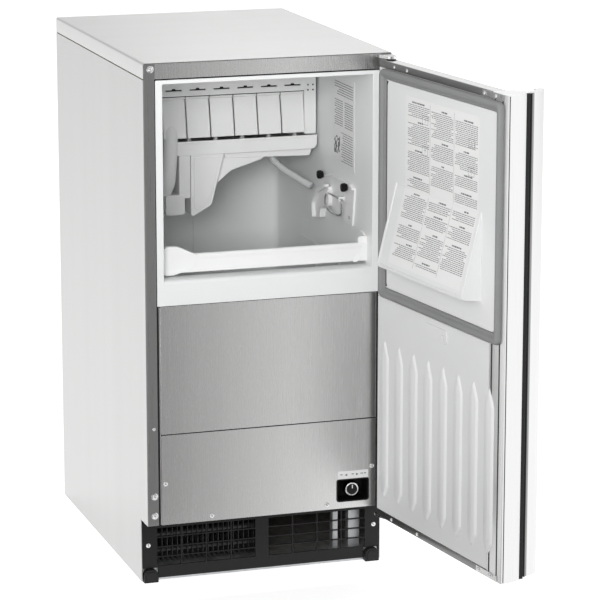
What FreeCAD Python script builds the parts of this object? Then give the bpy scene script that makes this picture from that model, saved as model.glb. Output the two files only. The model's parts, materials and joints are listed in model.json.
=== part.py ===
"""Under-counter ice maker: cabinet, storage bin, spray evaporator, refrigeration set and a hinged door.

Millimetres. +X is to the machine's right as seen from the front, +Y runs from the front to the back and
+Z is up. The origin is on the floor at the centre of the cabinet's footprint. The door stands open, at
the angle that the sheet gives, and its pieces are drawn about the hinge axis and then turned.
"""
import FreeCAD, Part
import math
import os
import re

import Sketcher

# Each size is a number, or a formula on the sizes above it that starts with an equals sign.
SIZES = {
    # cabinet
    "cabinet_width": 378, "cabinet_height": 789, "cabinet_depth": 526,
    "skin": 1.2, "seam": 0.3, "lid_skirt": 23, "lid_shadow": 1.5, "side_clearance": 2,
    "toe_height": 99, "toe_depth": 40, "frame_thick": 2.5, "stile_width": 15.5, "rail_height": 24,
    "base_height": 20, "base_inset": 6, "ring_width": 8, "foot_width": 22, "foot_depth": 12,
    # storage bin
    "bin_width": "=cabinet_width - 58", "bin_floor": 245, "bin_back_gap": 56, "bin_wall": 3, "ceiling_drop": 32,
    "sill_height": 468, "sill_depth": 36, "lip_width": 10.5, "lip_bottom": 431, "foam_floor": 215,
    # front panels and control
    "panel_width": "=cabinet_width - 44", "panel_thick": 1.5, "fascia_bottom": 237, "panel_gap": 0.8,
    "window_left": 106, "window_width": 50, "window_bottom": 110, "window_height": 34,
    "control_wall": 5, "control_depth": 32, "knob_radius": 12, "knob_length": 14,
    # toe grille
    "slot_pitch_x": 39, "slot_width": 36.8, "slot_pitch_z": 15.25, "slot_height": 13.2,
    "slot_start": 23.5, "grille_mid": 19, "grille_thick": 2.5,
    # door
    "door_angle": 98, "door_gap": 8, "door_thick": 24, "door_bottom": 89.6, "door_top_drop": 7.3,
    "hinge_inset": 8.15, "hinge_depth": 15.17, "door_skin": 1, "handle_width": 41, "handle_depth": 78,
    "channel_height": 10.7, "channel_thick": 1.5, "gasket_width": 15, "gasket_half": "=cabinet_width / 2 - 10.5",
    "gasket_depth": 7.6, "gasket_bottom": 431, "hinge_pin": 4, "pin_clearance": 0.05,
    "bushing_radius": 7, "bushing_length": 14, "bracket_thick": 4, "bracket_width": 22,
    "wedge_half": 127, "wedge_top_drop": 182, "wedge_low": 488, "wedge_depth": 31,
    "flute_pitch": "=(cabinet_width - 63) / 7", "flute_width": 26, "flute_bottom": 121, "flute_top": 369,
    # ice making unit
    "unit_front": 255, "unit_half": "=bin_width / 2 - 4", "header_height": 25.5, "unit_drop": 67, "post_width": 19,
    "slat_count": 7, "slat_length": 64, "slat_lean": 12, "slat_thick": 2.2, "slat_gap": 1,
    "slat_pivot": 1.5, "evaporator_height": 26, "evaporator_margin": 14, "cup_rows": 4,
    "cup_wall": 1.6, "cup_plate": 3, "tray_height": 23,
    "tray_left": 75, "tray_wall": 2, "tray_gap": 4, "nozzle_tube": 6, "pump_depth": 55,
    # bin gate
    "gate_front": 26, "gate_thick": 6, "gate_bottom": 470, "gate_height": 31, "gate_pin": 3.5,
    "gate_pivot_y": 66, "gate_pivot_z": 494, "gate_side_gap": 2.5, "gate_wing_thick": 3,
    # machine compartment
    "condenser_width": 170, "condenser_height": 160, "condenser_depth": 34, "fin_pitch": 8,
    "fan_radius": 66, "fan_hub": 17, "fan_blades": 5, "compressor_radius": 66,
    "compressor_height": 140, "stub_length": 16, "inlet_radius": 9.5, "drain_radius": 11,
    "gland_radius": 10, "stub_step": 1.5, "screw_radius": 4,
}

doc = FreeCAD.newDocument("ice_maker")
sheet = doc.addObject("Spreadsheet::Sheet", "Sizes")
for row, (alias, size) in enumerate(SIZES.items(), start=1):
    sheet.set(f"A{row}", alias)
    sheet.set(f"B{row}", str(size))
    sheet.setAlias(f"B{row}", alias)
doc.recompute()

WORDS = re.compile(r"[a-z][a-z_]*")
subparts = []
AXES = {"x": (0, 1, 0, 90), "y": (1, 0, 0, -90), "z": (0, 0, 1, 0)}
FRONT = "(-cabinet_depth / 2)"
DOOR_TOP = "(cabinet_height - door_top_drop)"
HINGE_X = "(cabinet_width / 2 - 1 - hinge_inset)"
HINGE_Y = f"({FRONT} - door_gap - hinge_depth)"


# ---------------------------------------------------------------- helpers
def bound(text):
    """Gives an expression the sheet's name before each of the sheet's words."""
    return WORDS.sub(lambda word: f"Sizes.{word[0]}" if word[0] in SIZES else word[0], str(text))


def value(text):
    """Works out an expression from the sheet, for shapes that are made in code."""
    return float(sheet.evalExpression(bound(text)))


def behind(distance):
    """The Y of something this far behind the cabinet's front plane."""
    return f"{FRONT} + {distance}"


def back(distance):
    """The Y of something this far in front of the cabinet's rear plane."""
    return f"cabinet_depth / 2 - ({distance})"


def place(obj, at):
    for axis, text in zip("xyz", at):
        obj.setExpression(f"Placement.Base.{axis}", bound(text))
    return obj


def box(name, size, at):
    """A block whose size and lowest corner are expressions."""
    block = doc.addObject("Part::Box", name)
    for side, text in zip(("Length", "Width", "Height"), size):
        block.setExpression(side, bound(text))
    return place(block, at)


def span(name, x, y, z):
    """A block between two expressions on each axis."""
    return box(name, [f"({high}) - ({low})" for low, high in (x, y, z)], [x[0], y[0], z[0]])


def cylinder(name, radius, length, at, axis="z"):
    """A cylinder that starts at a point and runs along +X, +Y or +Z."""
    rod = doc.addObject("Part::Cylinder", name)
    rod.setExpression("Radius", bound(radius))
    rod.setExpression("Height", bound(length))
    x, y, z, turn = AXES[axis]
    rod.Placement.Rotation = FreeCAD.Rotation(FreeCAD.Vector(x, y, z), turn)
    return place(rod, at)


def cone(name, low_radius, high_radius, length, at):
    taper = doc.addObject("Part::Cone", name)
    taper.setExpression("Radius1", bound(low_radius))
    taper.setExpression("Radius2", bound(high_radius))
    taper.setExpression("Height", bound(length))
    return place(taper, at)


def cut(name, base, *tools):
    """The base with one or more tools taken away."""
    for number, tool in enumerate(tools, start=1):
        result = doc.addObject("Part::Cut", name if number == len(tools) else f"{name}_cut{number}")
        result.Base = base
        result.Tool = tool
        base = result
    return base


def fuse(name, *shapes):
    joined = doc.addObject("Part::MultiFuse", name)
    joined.Shapes = list(shapes)
    joined.Refine = True
    return joined


def group(name, *shapes):
    """Separate solids that share one node."""
    together = doc.addObject("Part::Compound", name)
    together.Links = list(shapes)
    return together


def outline(body, plane, points, name):
    """A closed sketch of straight lines; two sheet-bound distances hold each corner."""
    sketch = body.newObject("Sketcher::SketchObject", name)
    role = f"{plane}_Plane"
    origin_plane = next(item for item in body.Origin.OriginFeatures if item.Role == role)
    sketch.AttachmentSupport = [(origin_plane, "")]
    sketch.MapMode = "FlatFace"
    spots = [FreeCAD.Vector(value(across), value(up), 0) for across, up in points]
    total = len(spots)
    for number, spot in enumerate(spots):
        sketch.addGeometry(Part.LineSegment(spot, spots[(number + 1) % total]))
    for number in range(total):
        sketch.addConstraint(Sketcher.Constraint("Coincident", number, 2, (number + 1) % total, 1))
    for number, corner in enumerate(points):
        for kind, own_axis, text, size in zip(("DistanceX", "DistanceY"), (-2, -1), corner, spots[number]):
            if str(text) == "0":
                sketch.addConstraint(Sketcher.Constraint("PointOnObject", number, 1, own_axis))
                continue
            index = sketch.addConstraint(Sketcher.Constraint(kind, -1, 1, number, 1, size))
            sketch.setExpression(f"Constraints[{index}]", bound(text))
    return sketch


def prism(name, plane, points, length, at):
    """A padded outline: XY pads up, XZ pads back and YZ pads to the right."""
    body = doc.addObject("PartDesign::Body", name)
    sketch = outline(body, plane, points, f"{name}_outline")
    pad = body.newObject("PartDesign::Pad", f"{name}_pad")
    pad.Profile = sketch
    pad.setExpression("Length", bound(length))
    pad.Reversed = plane == "XZ"
    return place(body, at)


def turned(name, points, at, axis="z"):
    """A half outline (radius, height) turned about its own height axis."""
    body = doc.addObject("PartDesign::Body", name)
    sketch = outline(body, "XZ", points, f"{name}_outline")
    spin = body.newObject("PartDesign::Revolution", f"{name}_spin")
    spin.Profile = sketch
    spin.ReferenceAxis = (sketch, ["V_Axis"])
    spin.Angle = 360
    x, y, z, turn = AXES[axis]
    body.Placement.Rotation = FreeCAD.Rotation(FreeCAD.Vector(x, y, z), turn)
    return place(body, at)


def screws(name, spots, axis="y", head="screw_radius", tall="2"):
    """Pan-head screws, one at each spot; each head stands out against the axis."""
    made = []
    for number, spot in enumerate(spots, start=1):
        made.append(cylinder(f"{name}_{number}", head, tall, spot, axis))
    return group(name, *made)


def piping(name, points, radius):
    """A rigid tube through the points, with round elbows."""
    spots = [FreeCAD.Vector(*[value(text) for text in point]) for point in points]
    size = value(radius)
    run = None
    for start, end in zip(spots, spots[1:]):
        leg = Part.makeCylinder(size, start.distanceToPoint(end), start, end - start)
        run = leg if run is None else run.fuse(leg)
    for elbow in spots[1:-1]:
        run = run.fuse(Part.makeSphere(size, elbow))
    tube = doc.addObject("Part::Feature", name)
    tube.Shape = run.removeSplitter()
    return tube


def keep(obj):
    """Marks a finished sub-part; its name is its label and its file's name."""
    obj.Label = obj.Name
    subparts.append(obj)
    return obj


def keep_on_door(name, *pieces):
    """Door pieces are drawn about the hinge axis, then set there and turned to the open angle."""
    node = group(name, *pieces)
    place(node, [HINGE_X, HINGE_Y, "0"])
    node.Placement.Rotation.Axis = FreeCAD.Vector(0, 0, 1)
    node.setExpression("Placement.Rotation.Angle", bound("door_angle"))
    return keep(node)


# ---------------------------------------------------------------- cabinet shell
HALF = "cabinet_width / 2"
SIDE_TOP = "cabinet_height - lid_skirt - lid_shadow"
INNER_HALF = "(cabinet_width / 2 - skin - seam)"


def cabinet_shell():
    side = [("0", "toe_height"), ("toe_depth", "toe_height"), ("toe_depth", "side_clearance"),
            ("cabinet_depth", "side_clearance"), ("cabinet_depth", SIDE_TOP), ("0", SIDE_TOP)]
    keep(prism("left_side_panel", "YZ", side, "skin", [f"-({HALF})", FRONT, "0"]))
    keep(prism("right_side_panel", "YZ", side, "skin", [f"{HALF} - skin", FRONT, "0"]))

    sheet_back = span("rear_sheet", [f"-({HALF}) + skin", f"{HALF} - skin"], [back("skin"), back("0")],
                      ["side_clearance", SIDE_TOP])
    louvres = [box(f"rear_louvre_{row}", ["180", "skin + 2", "5"],
                   ["-150", back("skin + 1"), f"base_height + 30 + {row} * 20"]) for row in range(7)]
    ports = [cylinder(f"rear_port_{number}", radius, "skin + 2", [x, back("skin + 1"), z], "y")
             for number, (radius, x, z) in enumerate(REAR_PORTS, start=1)]
    keep(cut("rear_panel", sheet_back, group("rear_holes", *louvres, *ports)))

    lid = span("lid_outer", [f"-({HALF})", HALF], [FRONT, back("0")],
               ["cabinet_height - lid_skirt", "cabinet_height"])
    lid_inside = span("lid_inner", [f"-({HALF}) + skin", f"{HALF} - skin"],
                      [behind("-1"), back("skin")], ["cabinet_height - lid_skirt - 1",
                                                     "cabinet_height - skin"])
    keep(cut("top_panel", lid, lid_inside))

    top = "cabinet_height - skin - seam"
    low = "toe_height"
    inside = f"({INNER_HALF} - stile_width)"
    rail = "cabinet_height - rail_height"
    frame = [(f"-{INNER_HALF}", low), (f"-{inside}", low), (f"-{inside}", rail), (inside, rail),
             (inside, low), (INNER_HALF, low), (INNER_HALF, top), (f"-{INNER_HALF}", top)]
    keep(prism("front_frame", "XZ", frame, "frame_thick", ["0", FRONT, "0"]))


WATER_INLET = ["-120", "base_height + 150"]
DRAIN_OUTLET = ["0", "base_height + 60"]
POWER_INLET = ["120", "base_height + 120"]
REAR_PORTS = [("inlet_radius + seam", *WATER_INLET), ("drain_radius + seam", *DRAIN_OUTLET),
              ("gland_radius + seam", *POWER_INLET)]


# ---------------------------------------------------------------- base and toe grille
def base():
    half = "(cabinet_width / 2 - skin - 2)"
    front = behind("toe_depth + base_inset")
    rear = back("skin + 2")
    tray = span("base_block", [f"-{half}", half], [front, rear], ["0", "base_height"])
    hollow = span("base_hollow", [f"-{half} + ring_width", f"{half} - ring_width"],
                  [f"{front} + ring_width", f"{rear} - ring_width"], ["-1", "base_height - skin"])
    keep(cut("base_frame", tray, hollow))

    feet = []
    for side, x in (("left", f"-{half}"), ("right", f"{half} - foot_width")):
        block = box(f"foot_block_{side}", ["foot_width", "foot_depth", "base_height - 8"],
                    [x, f"{front} - foot_depth", "0"])
        crown = cylinder(f"foot_crown_{side}", "foot_width / 2", "foot_depth",
                         [f"{x} + foot_width / 2", f"{front} - foot_depth", "base_height - 11"], "y")
        feet.append(fuse(f"foot_{side}", block, crown))
    keep(group("front_feet", *feet))

    plate = span("grille_plate", [f"-{INNER_HALF} + 1", f"{INNER_HALF} - 1"],
                 [behind("toe_depth"), behind("toe_depth + grille_thick")], ["5", "toe_height - 1.5"])
    slots = []
    for side, start in (("left", "-(grille_mid / 2) - 4 * slot_pitch_x"), ("right", "grille_mid / 2")):
        for column in range(4):
            for line in range(4):
                slots.append(box(f"grille_slot_{side}_{column}_{line}",
                                 ["slot_width", "grille_thick + 2", "slot_height"],
                                 [f"{start} + {column} * slot_pitch_x + (slot_pitch_x - slot_width) / 2",
                                  behind("toe_depth - 1"), f"slot_start + {line} * slot_pitch_z"]))
    notches = [box(f"grille_notch_{side}", ["foot_width + 2", "grille_thick + 2", "base_height"],
                   [x, behind("toe_depth - 1"), "1"])
               for side, x in (("left", f"-{half} - 1"), ("right", f"{half} - foot_width - 1"))]
    keep(cut("toe_kick_grille", plate, group("grille_slots", *slots, *notches)))


# ---------------------------------------------------------------- storage bin
BIN_HALF = "(bin_width / 2)"
SHELL_HALF = "(bin_width / 2 + bin_wall)"
BIN_BACK = "(cabinet_depth - bin_back_gap)"
CEILING = "(cabinet_height - ceiling_drop)"


def storage_bin():
    flange = span("liner_flange", [f"-({BIN_HALF} + lip_width)", f"{BIN_HALF} + lip_width"],
                  [behind("0.5"), behind("frame_thick + 1")], ["lip_bottom", f"{CEILING} + 6"])
    shell = span("liner_shell", [f"-{SHELL_HALF}", SHELL_HALF],
                 [behind("frame_thick + 1"), behind(f"{BIN_BACK} + bin_wall")],
                 ["bin_floor - bin_wall", f"{CEILING} + bin_wall"])
    mouth = span("liner_mouth", [f"-{BIN_HALF}", BIN_HALF], [behind("-1"), behind(BIN_BACK)],
                 ["sill_height", CEILING])
    well = span("liner_well", [f"-{BIN_HALF}", BIN_HALF], [behind("sill_depth"), behind(BIN_BACK)],
                ["bin_floor", "sill_height + 1"])
    chest = span("liner_chest", [f"-({SHELL_HALF} + 20)", f"{SHELL_HALF} + 20"],
                 [behind("frame_thick + 1"), behind("sill_depth - bin_wall")],
                 ["bin_floor - bin_wall - 1", "sill_height - bin_wall"])
    drain = cylinder("liner_drain_hole", "drain_radius + seam", "bin_wall + 2",
                     ["0", DRAIN_Y, "bin_floor - bin_wall - 1"])
    bosses = [cylinder(f"gate_socket_{side}", "gate_pin + pin_clearance", "bin_wall + 2",
                       [x, behind("gate_pivot_y"), "gate_pivot_z"], "x")
              for side, x in (("left", f"-{SHELL_HALF} - 1"), ("right", f"{BIN_HALF} - 1"))]
    keep(cut("bin_liner", fuse("liner_solid", flange, shell), mouth, well, chest, drain,
             group("gate_sockets", *bosses)))

    front_foam = behind("frame_thick + 1 + seam")
    block = span("foam_block", [f"-{INNER_HALF}", INNER_HALF], [front_foam, back("skin + seam")],
                 ["foam_floor", "cabinet_height - skin - seam"])
    hollow = span("foam_hollow", [f"-({SHELL_HALF} + seam)", f"{SHELL_HALF} + seam"],
                  [behind("-1"), behind(f"{BIN_BACK} + bin_wall + seam")],
                  ["bin_floor - bin_wall - seam", f"{CEILING} + bin_wall + seam"])
    rind = cut("foam_rind", block, hollow)
    breast = span("foam_breast", [f"-({SHELL_HALF} + 1)", f"{SHELL_HALF} + 1"],
                  [front_foam, behind("sill_depth - bin_wall - seam")],
                  ["bin_floor - bin_wall - 1", "sill_height - bin_wall - seam"])
    pipe_way = cylinder("foam_drain_way", "drain_radius + seam", "bin_floor",
                        ["0", DRAIN_Y, "foam_floor - 1"])
    line_way = cylinder("foam_line_way", "6.4", "bin_floor", [LINE_X, LINE_Y, "foam_floor - 1"])
    pin_ways = [cylinder(f"foam_pin_way_{side}", "gate_pin + 1.5", "8",
                         [x, behind("gate_pivot_y"), "gate_pivot_z"], "x")
                for side, x in (("left", f"-({SHELL_HALF} + 8)"), ("right", SHELL_HALF))]
    keep(cut("bin_insulation", fuse("foam_solid", rind, breast),
             group("foam_ways", pipe_way, line_way, *pin_ways)))


DRAIN_Y = back("bin_back_gap + 40")
LINE_X = "bin_width / 2 + bin_wall + 12"
LINE_Y = back("bin_back_gap - 30")


# ---------------------------------------------------------------- front panels and control
def front_panels():
    half = "panel_width / 2"
    keep(span("upper_fascia", [f"-({half})", half], [behind("0.5"), behind("0.5 + panel_thick")],
              ["fascia_bottom", "lip_bottom - panel_gap"]))
    sheet_front = span("lower_sheet", [f"-({half})", half], [behind("0.5"), behind("0.5 + panel_thick")],
                       ["toe_height", "fascia_bottom - panel_gap"])
    return_lip = span("lower_return", [f"-({half})", half], [behind("0.5"), behind("toe_depth - seam")],
                      ["toe_height", "toe_height + skin"])
    window = box("control_window", ["window_width", "panel_thick + 2", "window_height"],
                 ["window_left", behind("-0.5"), "window_bottom"])
    keep(cut("lower_front_panel", fuse("lower_panel_solid", sheet_front, return_lip), window))

    cup = box("control_cup", ["window_width + 2 * control_wall", "control_depth",
                              "window_height + 2 * control_wall"],
              ["window_left - control_wall", behind("0.5 + panel_thick"), "window_bottom - control_wall"])
    recess = box("control_recess", ["window_width", "control_depth - control_wall", "window_height"],
                 ["window_left", behind("panel_thick"), "window_bottom"])
    stem_way = cylinder("control_stem_way", "3 + pin_clearance", "control_wall + 2",
                        [KNOB_X, behind("control_depth - control_wall"), KNOB_Z], "y")
    keep(cut("control_box", cup, recess, stem_way))
    grip = cylinder("knob_grip", "knob_radius", "knob_length",
                    [KNOB_X, behind("4"), KNOB_Z], "y")
    stem = cylinder("knob_stem", "3", "control_depth - 4",
                    [KNOB_X, behind("4"), KNOB_Z], "y")
    pointer = box("knob_pointer", ["3", "4", "knob_radius"], [f"{KNOB_X} - 1.5", behind("2"), KNOB_Z])
    keep(fuse("control_knob", grip, stem, pointer))

    low = [[f"{side} * 161", behind("-1.5"), "toe_height + 63"] for side in (-1, 1)]
    low += [[f"{side} * 90", behind("-1.5"), "toe_height + 8"] for side in (-1, 1)]
    stile = [[f"-(cabinet_width / 2 - 11)", behind("-2"), f"toe_height + {rise}"] for rise in (15.5, 45,
                                                                                               148)]
    rail = [["-(cabinet_width / 2 - 11)", behind("-2"), "cabinet_height - 9.5"]]
    toe = [[f"{side} * (cabinet_width / 2 - 11)", behind("toe_depth - 2"), "57"] for side in (-1, 1)]
    keep(screws("cabinet_screws", low + stile + rail + toe))


KNOB_X = "window_left + window_width / 2"
KNOB_Z = "window_bottom + window_height / 2"


# ---------------------------------------------------------------- ice making unit
UNIT_TOP = "(cabinet_height - unit_drop)"
HEADER_LOW = f"({UNIT_TOP} - header_height)"
UNIT_FRONT = behind("unit_front")
UNIT_BACK = behind(f"{BIN_BACK} - 12")
TRAY_TOP = f"({HEADER_LOW} - slat_length - tray_gap)"
TRAY_LOW = f"({TRAY_TOP} - tray_height)"
CURTAIN = "(2 * unit_half - 2 * post_width - 8)"
PITCH = f"({CURTAIN} / slat_count)"
PIVOT_Z = f"({HEADER_LOW} - 3)"


def ice_unit():
    header = span("header_bar", ["-unit_half", "unit_half"], [UNIT_FRONT, f"{UNIT_FRONT} + 14"],
                  [HEADER_LOW, UNIT_TOP])
    slots = [box(f"header_slot_{number}", [f"{PITCH} * 0.62", "6", "5"],
                 [f"unit_half - post_width - {number} * {PITCH} + {PITCH} * 0.19",
                  f"{UNIT_FRONT} - 1", f"{HEADER_LOW} + 8"]) for number in range(1,
                                                                                 int(SIZES["slat_count"]) + 1)]
    posts = [span(f"header_post_{side}", x, [UNIT_FRONT, f"{UNIT_FRONT} + 14"], [TRAY_TOP, UNIT_TOP])
             for side, x in (("right", ["unit_half - post_width", "unit_half"]),
                             ("left", ["-unit_half", "-unit_half + post_width + 8 - 1"]))]
    deck = span("header_deck", ["-unit_half", "unit_half"], [UNIT_FRONT, UNIT_BACK],
                [f"{UNIT_TOP} - 3", UNIT_TOP])
    cheeks = [span(f"header_cheek_{side}", x, [UNIT_FRONT, UNIT_BACK], [TRAY_TOP, UNIT_TOP])
              for side, x in (("left", ["-unit_half", "-unit_half + 3"]),
                              ("right", ["unit_half - 3", "unit_half"]))]
    hangers = [span(f"hanger_{side}", x, [behind("unit_front + 30"), f"{UNIT_BACK} - 20"],
                    [f"{UNIT_TOP} - 1", CEILING])
               for side, x in (("left", ["-120", "-100"]), ("right", ["100", "120"]))]
    rod_way = cylinder("header_rod_way", "slat_pivot + pin_clearance", "2 * unit_half + 2",
                       ["-unit_half - 1", f"{UNIT_FRONT} + 5", PIVOT_Z], "x")
    keep(cut("evaporator_housing", fuse("housing_solid", header, deck, *posts, *cheeks, *hangers),
             group("header_slots", *slots), rod_way))
    keep(cylinder("slat_rod", "slat_pivot", "2 * unit_half",
                  ["-unit_half", f"{UNIT_FRONT} + 5", PIVOT_Z], "x"))

    for number in range(1, int(SIZES["slat_count"]) + 1):
        slat(number)

    evaporator()

    tray = span("tray_block", ["-tray_left", "unit_half"], [f"{UNIT_FRONT} - 6", UNIT_BACK],
                [TRAY_LOW, f"{TRAY_TOP} - 1"])
    basin = span("tray_basin", ["-tray_left + tray_wall", "unit_half - tray_wall"],
                 [f"{UNIT_FRONT} - 6 + tray_wall", f"{UNIT_BACK} - tray_wall"],
                 [f"{TRAY_LOW} + tray_wall", f"{TRAY_TOP} + 1"])
    pump_way = cylinder("tray_pump_way", "8", "tray_wall + 2", [PUMP_X, PUMP_Y, f"{TRAY_LOW} - 1"])
    keel = span("tray_keel", ["10", "unit_half - 6"], [f"{UNIT_FRONT} + 10", f"{UNIT_FRONT} + 36"],
                [f"{TRAY_LOW} - 12", f"{TRAY_LOW} + 1"])
    keep(cut("water_tray", fuse("tray_solid", tray, keel), basin, pump_way))

    spray_z = f"{TRAY_LOW} + tray_wall + nozzle_tube + 1"
    manifold = cylinder("spray_main", "nozzle_tube", "unit_half + tray_left - 26",
                        ["-tray_left + 12", PUMP_Y, spray_z], "x")
    nozzles = [cone(f"nozzle_{number}", "5", "2.5", "9",
                    [f"-tray_left + 34 + {number} * (unit_half + tray_left - 60) / 4", PUMP_Y, f"{spray_z} + 4"])
               for number in range(5)]
    keep(fuse("spray_bar", manifold, *nozzles))

    drop = f"({TRAY_LOW} - 97)"
    duct = [("-60", TRAY_LOW), ("-60", f"{drop} + 10"), ("-46", drop), ("-14", f"{drop} + 18"),
            ("6", TRAY_LOW)]
    sleeve = prism("duct_solid", "XZ", duct, "pump_depth", ["0", f"{UNIT_FRONT} - 4", "0"])
    web = [("4", TRAY_LOW), ("-3", f"{drop} + 50"), ("20", f"{drop} + 69"), ("69", f"{drop} + 84"),
           ("90", TRAY_LOW)]
    gusset = prism("duct_web", "XZ", web, "3", ["0", f"{UNIT_FRONT} + 6", "0"])
    float_box = span("float_chamber", ["-tray_left - 26", "-59"],
                     [f"{UNIT_FRONT} - 4", f"{UNIT_FRONT} + 36"],
                     [f"{drop} + 5", f"{drop} + 36"])
    bore = cylinder("duct_bore", "8", "62", [PUMP_X, PUMP_Y, f"{TRAY_LOW} - 60"])
    chamber = cylinder("duct_chamber", "15", "20", [PUMP_X, PUMP_Y, f"{TRAY_LOW} - 60"])
    keep(cut("pump_housing", fuse("pump_solid", sleeve, gusset, float_box), bore, chamber))
    hub = cylinder("impeller_hub", "4", "16", [PUMP_X, PUMP_Y, f"{TRAY_LOW} - 58"])
    vanes = [box("impeller_vane_long", ["26", "2", "10"],
                 [f"{PUMP_X} - 13", f"{PUMP_Y} - 1", f"{TRAY_LOW} - 56"]),
             box("impeller_vane_cross", ["2", "26", "10"],
                 [f"{PUMP_X} - 1", f"{PUMP_Y} - 13", f"{TRAY_LOW} - 56"])]
    keep(fuse("pump_impeller", hub, *vanes))
    hose_x = "-tray_left - 12"
    keep(piping("pump_hose", [[hose_x, f"{UNIT_FRONT} + 8", f"{drop} + 36.5"],
                              [hose_x, f"{UNIT_FRONT} + 8", f"{TRAY_TOP} - 10"],
                              [hose_x, f"{UNIT_FRONT} + 60", f"{TRAY_TOP} - 10"]], "10"))


CUP_X = "((2 * unit_half - 2 * evaporator_margin - cup_wall) / slat_count)"
CUP_Y = f"(({BIN_BACK} - unit_front - 42 - cup_wall) / cup_rows)"
PUMP_X = "-30"
PUMP_Y = behind("unit_front + 26")


def evaporator():
    """A plate with a grid of dividers below it, which makes rows of open cups, one column to a flap."""
    columns = int(SIZES["slat_count"])
    rows = int(SIZES["cup_rows"])
    low = f"{UNIT_TOP} - 3 - evaporator_height"
    under = f"{UNIT_TOP} - 3 - cup_plate"
    left = "(evaporator_margin - unit_half)"
    front = f"({UNIT_FRONT} + 24)"
    end = f"({front} + cup_rows * {CUP_Y} + cup_wall)"
    pieces = [span("cup_roof", [left, f"-{left}"], [front, end], [under, f"{UNIT_TOP} - 3"])]
    for column in range(columns + 1):
        x = f"{left} + {column} * {CUP_X}"
        pieces.append(span(f"cup_divider_{column}", [x, f"{x} + cup_wall"], [front, end], [low, under]))
    for column in range(columns):
        x = f"{left} + {column} * {CUP_X}"
        for line in range(rows + 1):
            y = f"{front} + {line} * {CUP_Y}"
            pieces.append(span(f"cup_bridge_{column}_{line}", [f"{x} + cup_wall", f"{x} + {CUP_X}"],
                               [y, f"{y} + cup_wall"], [low, under]))
    keep(group("evaporator_plate", *pieces))


def slat(number):
    """One flap of the ice curtain, drawn about its pivot rod and leaning forward to its lower edge."""
    right = f"(unit_half - post_width - {number - 1} * {PITCH})"
    wide = f"({PITCH} - slat_gap)"
    drop = "(slat_length - 3)"
    blade = [("-1.1", "1.5"), ("1.1", "1.5"), ("-slat_lean + slat_thick", f"-{drop}"),
             ("-slat_lean", f"-{drop}")]
    body = prism(f"slat_{number}_blade", "YZ", blade, wide, ["0", "0", "0"])
    barrel = cylinder(f"slat_{number}_barrel", "slat_pivot + 1.4", wide, ["0", "0", "0"], "x")
    bore = cylinder(f"slat_{number}_bore", "slat_pivot + pin_clearance", f"{wide} + 2", ["-1", "0", "0"],
                    "x")
    flap = cut(f"curtain_slat_{number}", fuse(f"slat_{number}_solid", body, barrel), bore)
    place(flap, [f"{right} - {wide} - slat_gap / 2", f"{UNIT_FRONT} + 5", PIVOT_Z])
    keep(flap)


# ---------------------------------------------------------------- bin control and gate
def bin_control():
    wall = BIN_HALF
    top = f"({TRAY_LOW} - 30)"
    arch = [("80", f"{top} + 4"), ("185", f"{top} + 4"), ("233", f"{top} - 5"), ("246", f"{top} - 48"),
            ("242", f"{top} - 72"), ("222", f"{top} - 70"), ("217", f"{top} - 54"), ("196", f"{top} - 46"),
            ("112", f"{top} - 46"), ("110", f"{top} - 58"), ("82", f"{top} - 58")]
    plate = prism("bracket_plate", "YZ", arch, "7", [f"{wall} - 7", FRONT, "0"])
    pivot_z = f"{top} - 30"
    lugs = [box(f"bracket_lug_{y}", ["9", "6", "10"],
                [f"{wall} - 15", behind(y), f"{pivot_z} - 5"]) for y in (118, 176)]
    eye = cylinder("bracket_eye", "1.5 + pin_clearance", "80", [f"{wall} - 10", behind("106"), pivot_z],
                   "y")
    keep(cut("bin_control_bracket", fuse("bracket_solid", plate, *lugs), eye))
    knobs = [cylinder(f"thumb_{number}", "6.5", "9", [f"{wall} - 16", behind(y), f"{top} - {down}"], "x")
             for number, (y, down) in enumerate(((212, 8), (98, 8)), start=1)]
    keep(group("thumb_screws", *knobs))
    keep(piping("bin_switch_wire", [[f"{wall} - 10", behind("106"), pivot_z],
                                    [f"{wall} - 10", behind("190"), pivot_z],
                                    [f"{wall} - 10", behind("190"), f"{pivot_z} - 28"],
                                    [f"{wall} - 10", behind("112"), f"{pivot_z} - 28"],
                                    [f"{wall} - 10", behind("112"), f"{pivot_z} - 5"]], "1.5"))
    tube = piping("sensor_tube", [["95", f"{UNIT_FRONT} + 50", TRAY_LOW],
                                  ["95", f"{UNIT_FRONT} + 50", f"{TRAY_LOW} - 14"],
                                  ["108", f"{UNIT_FRONT} + 40", f"{TRAY_LOW} - 34"],
                                  [f"{wall} - 12", f"{UNIT_FRONT} - 2", f"{top} - 34"]], "5.5")
    keep(tube)
    service = span("service_label", [f"{wall} - 0.4", f"{wall} - 0.05"], [behind("82"), behind("183")],
                   [f"{CEILING} - 163", f"{CEILING} - 25"])
    control = box("control_label", ["window_width - 1.5", "0.4", "13"],
                  ["window_left + 1", behind("0.1"), "window_bottom + window_height"])
    keep(group("cabinet_labels", service, control))


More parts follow.
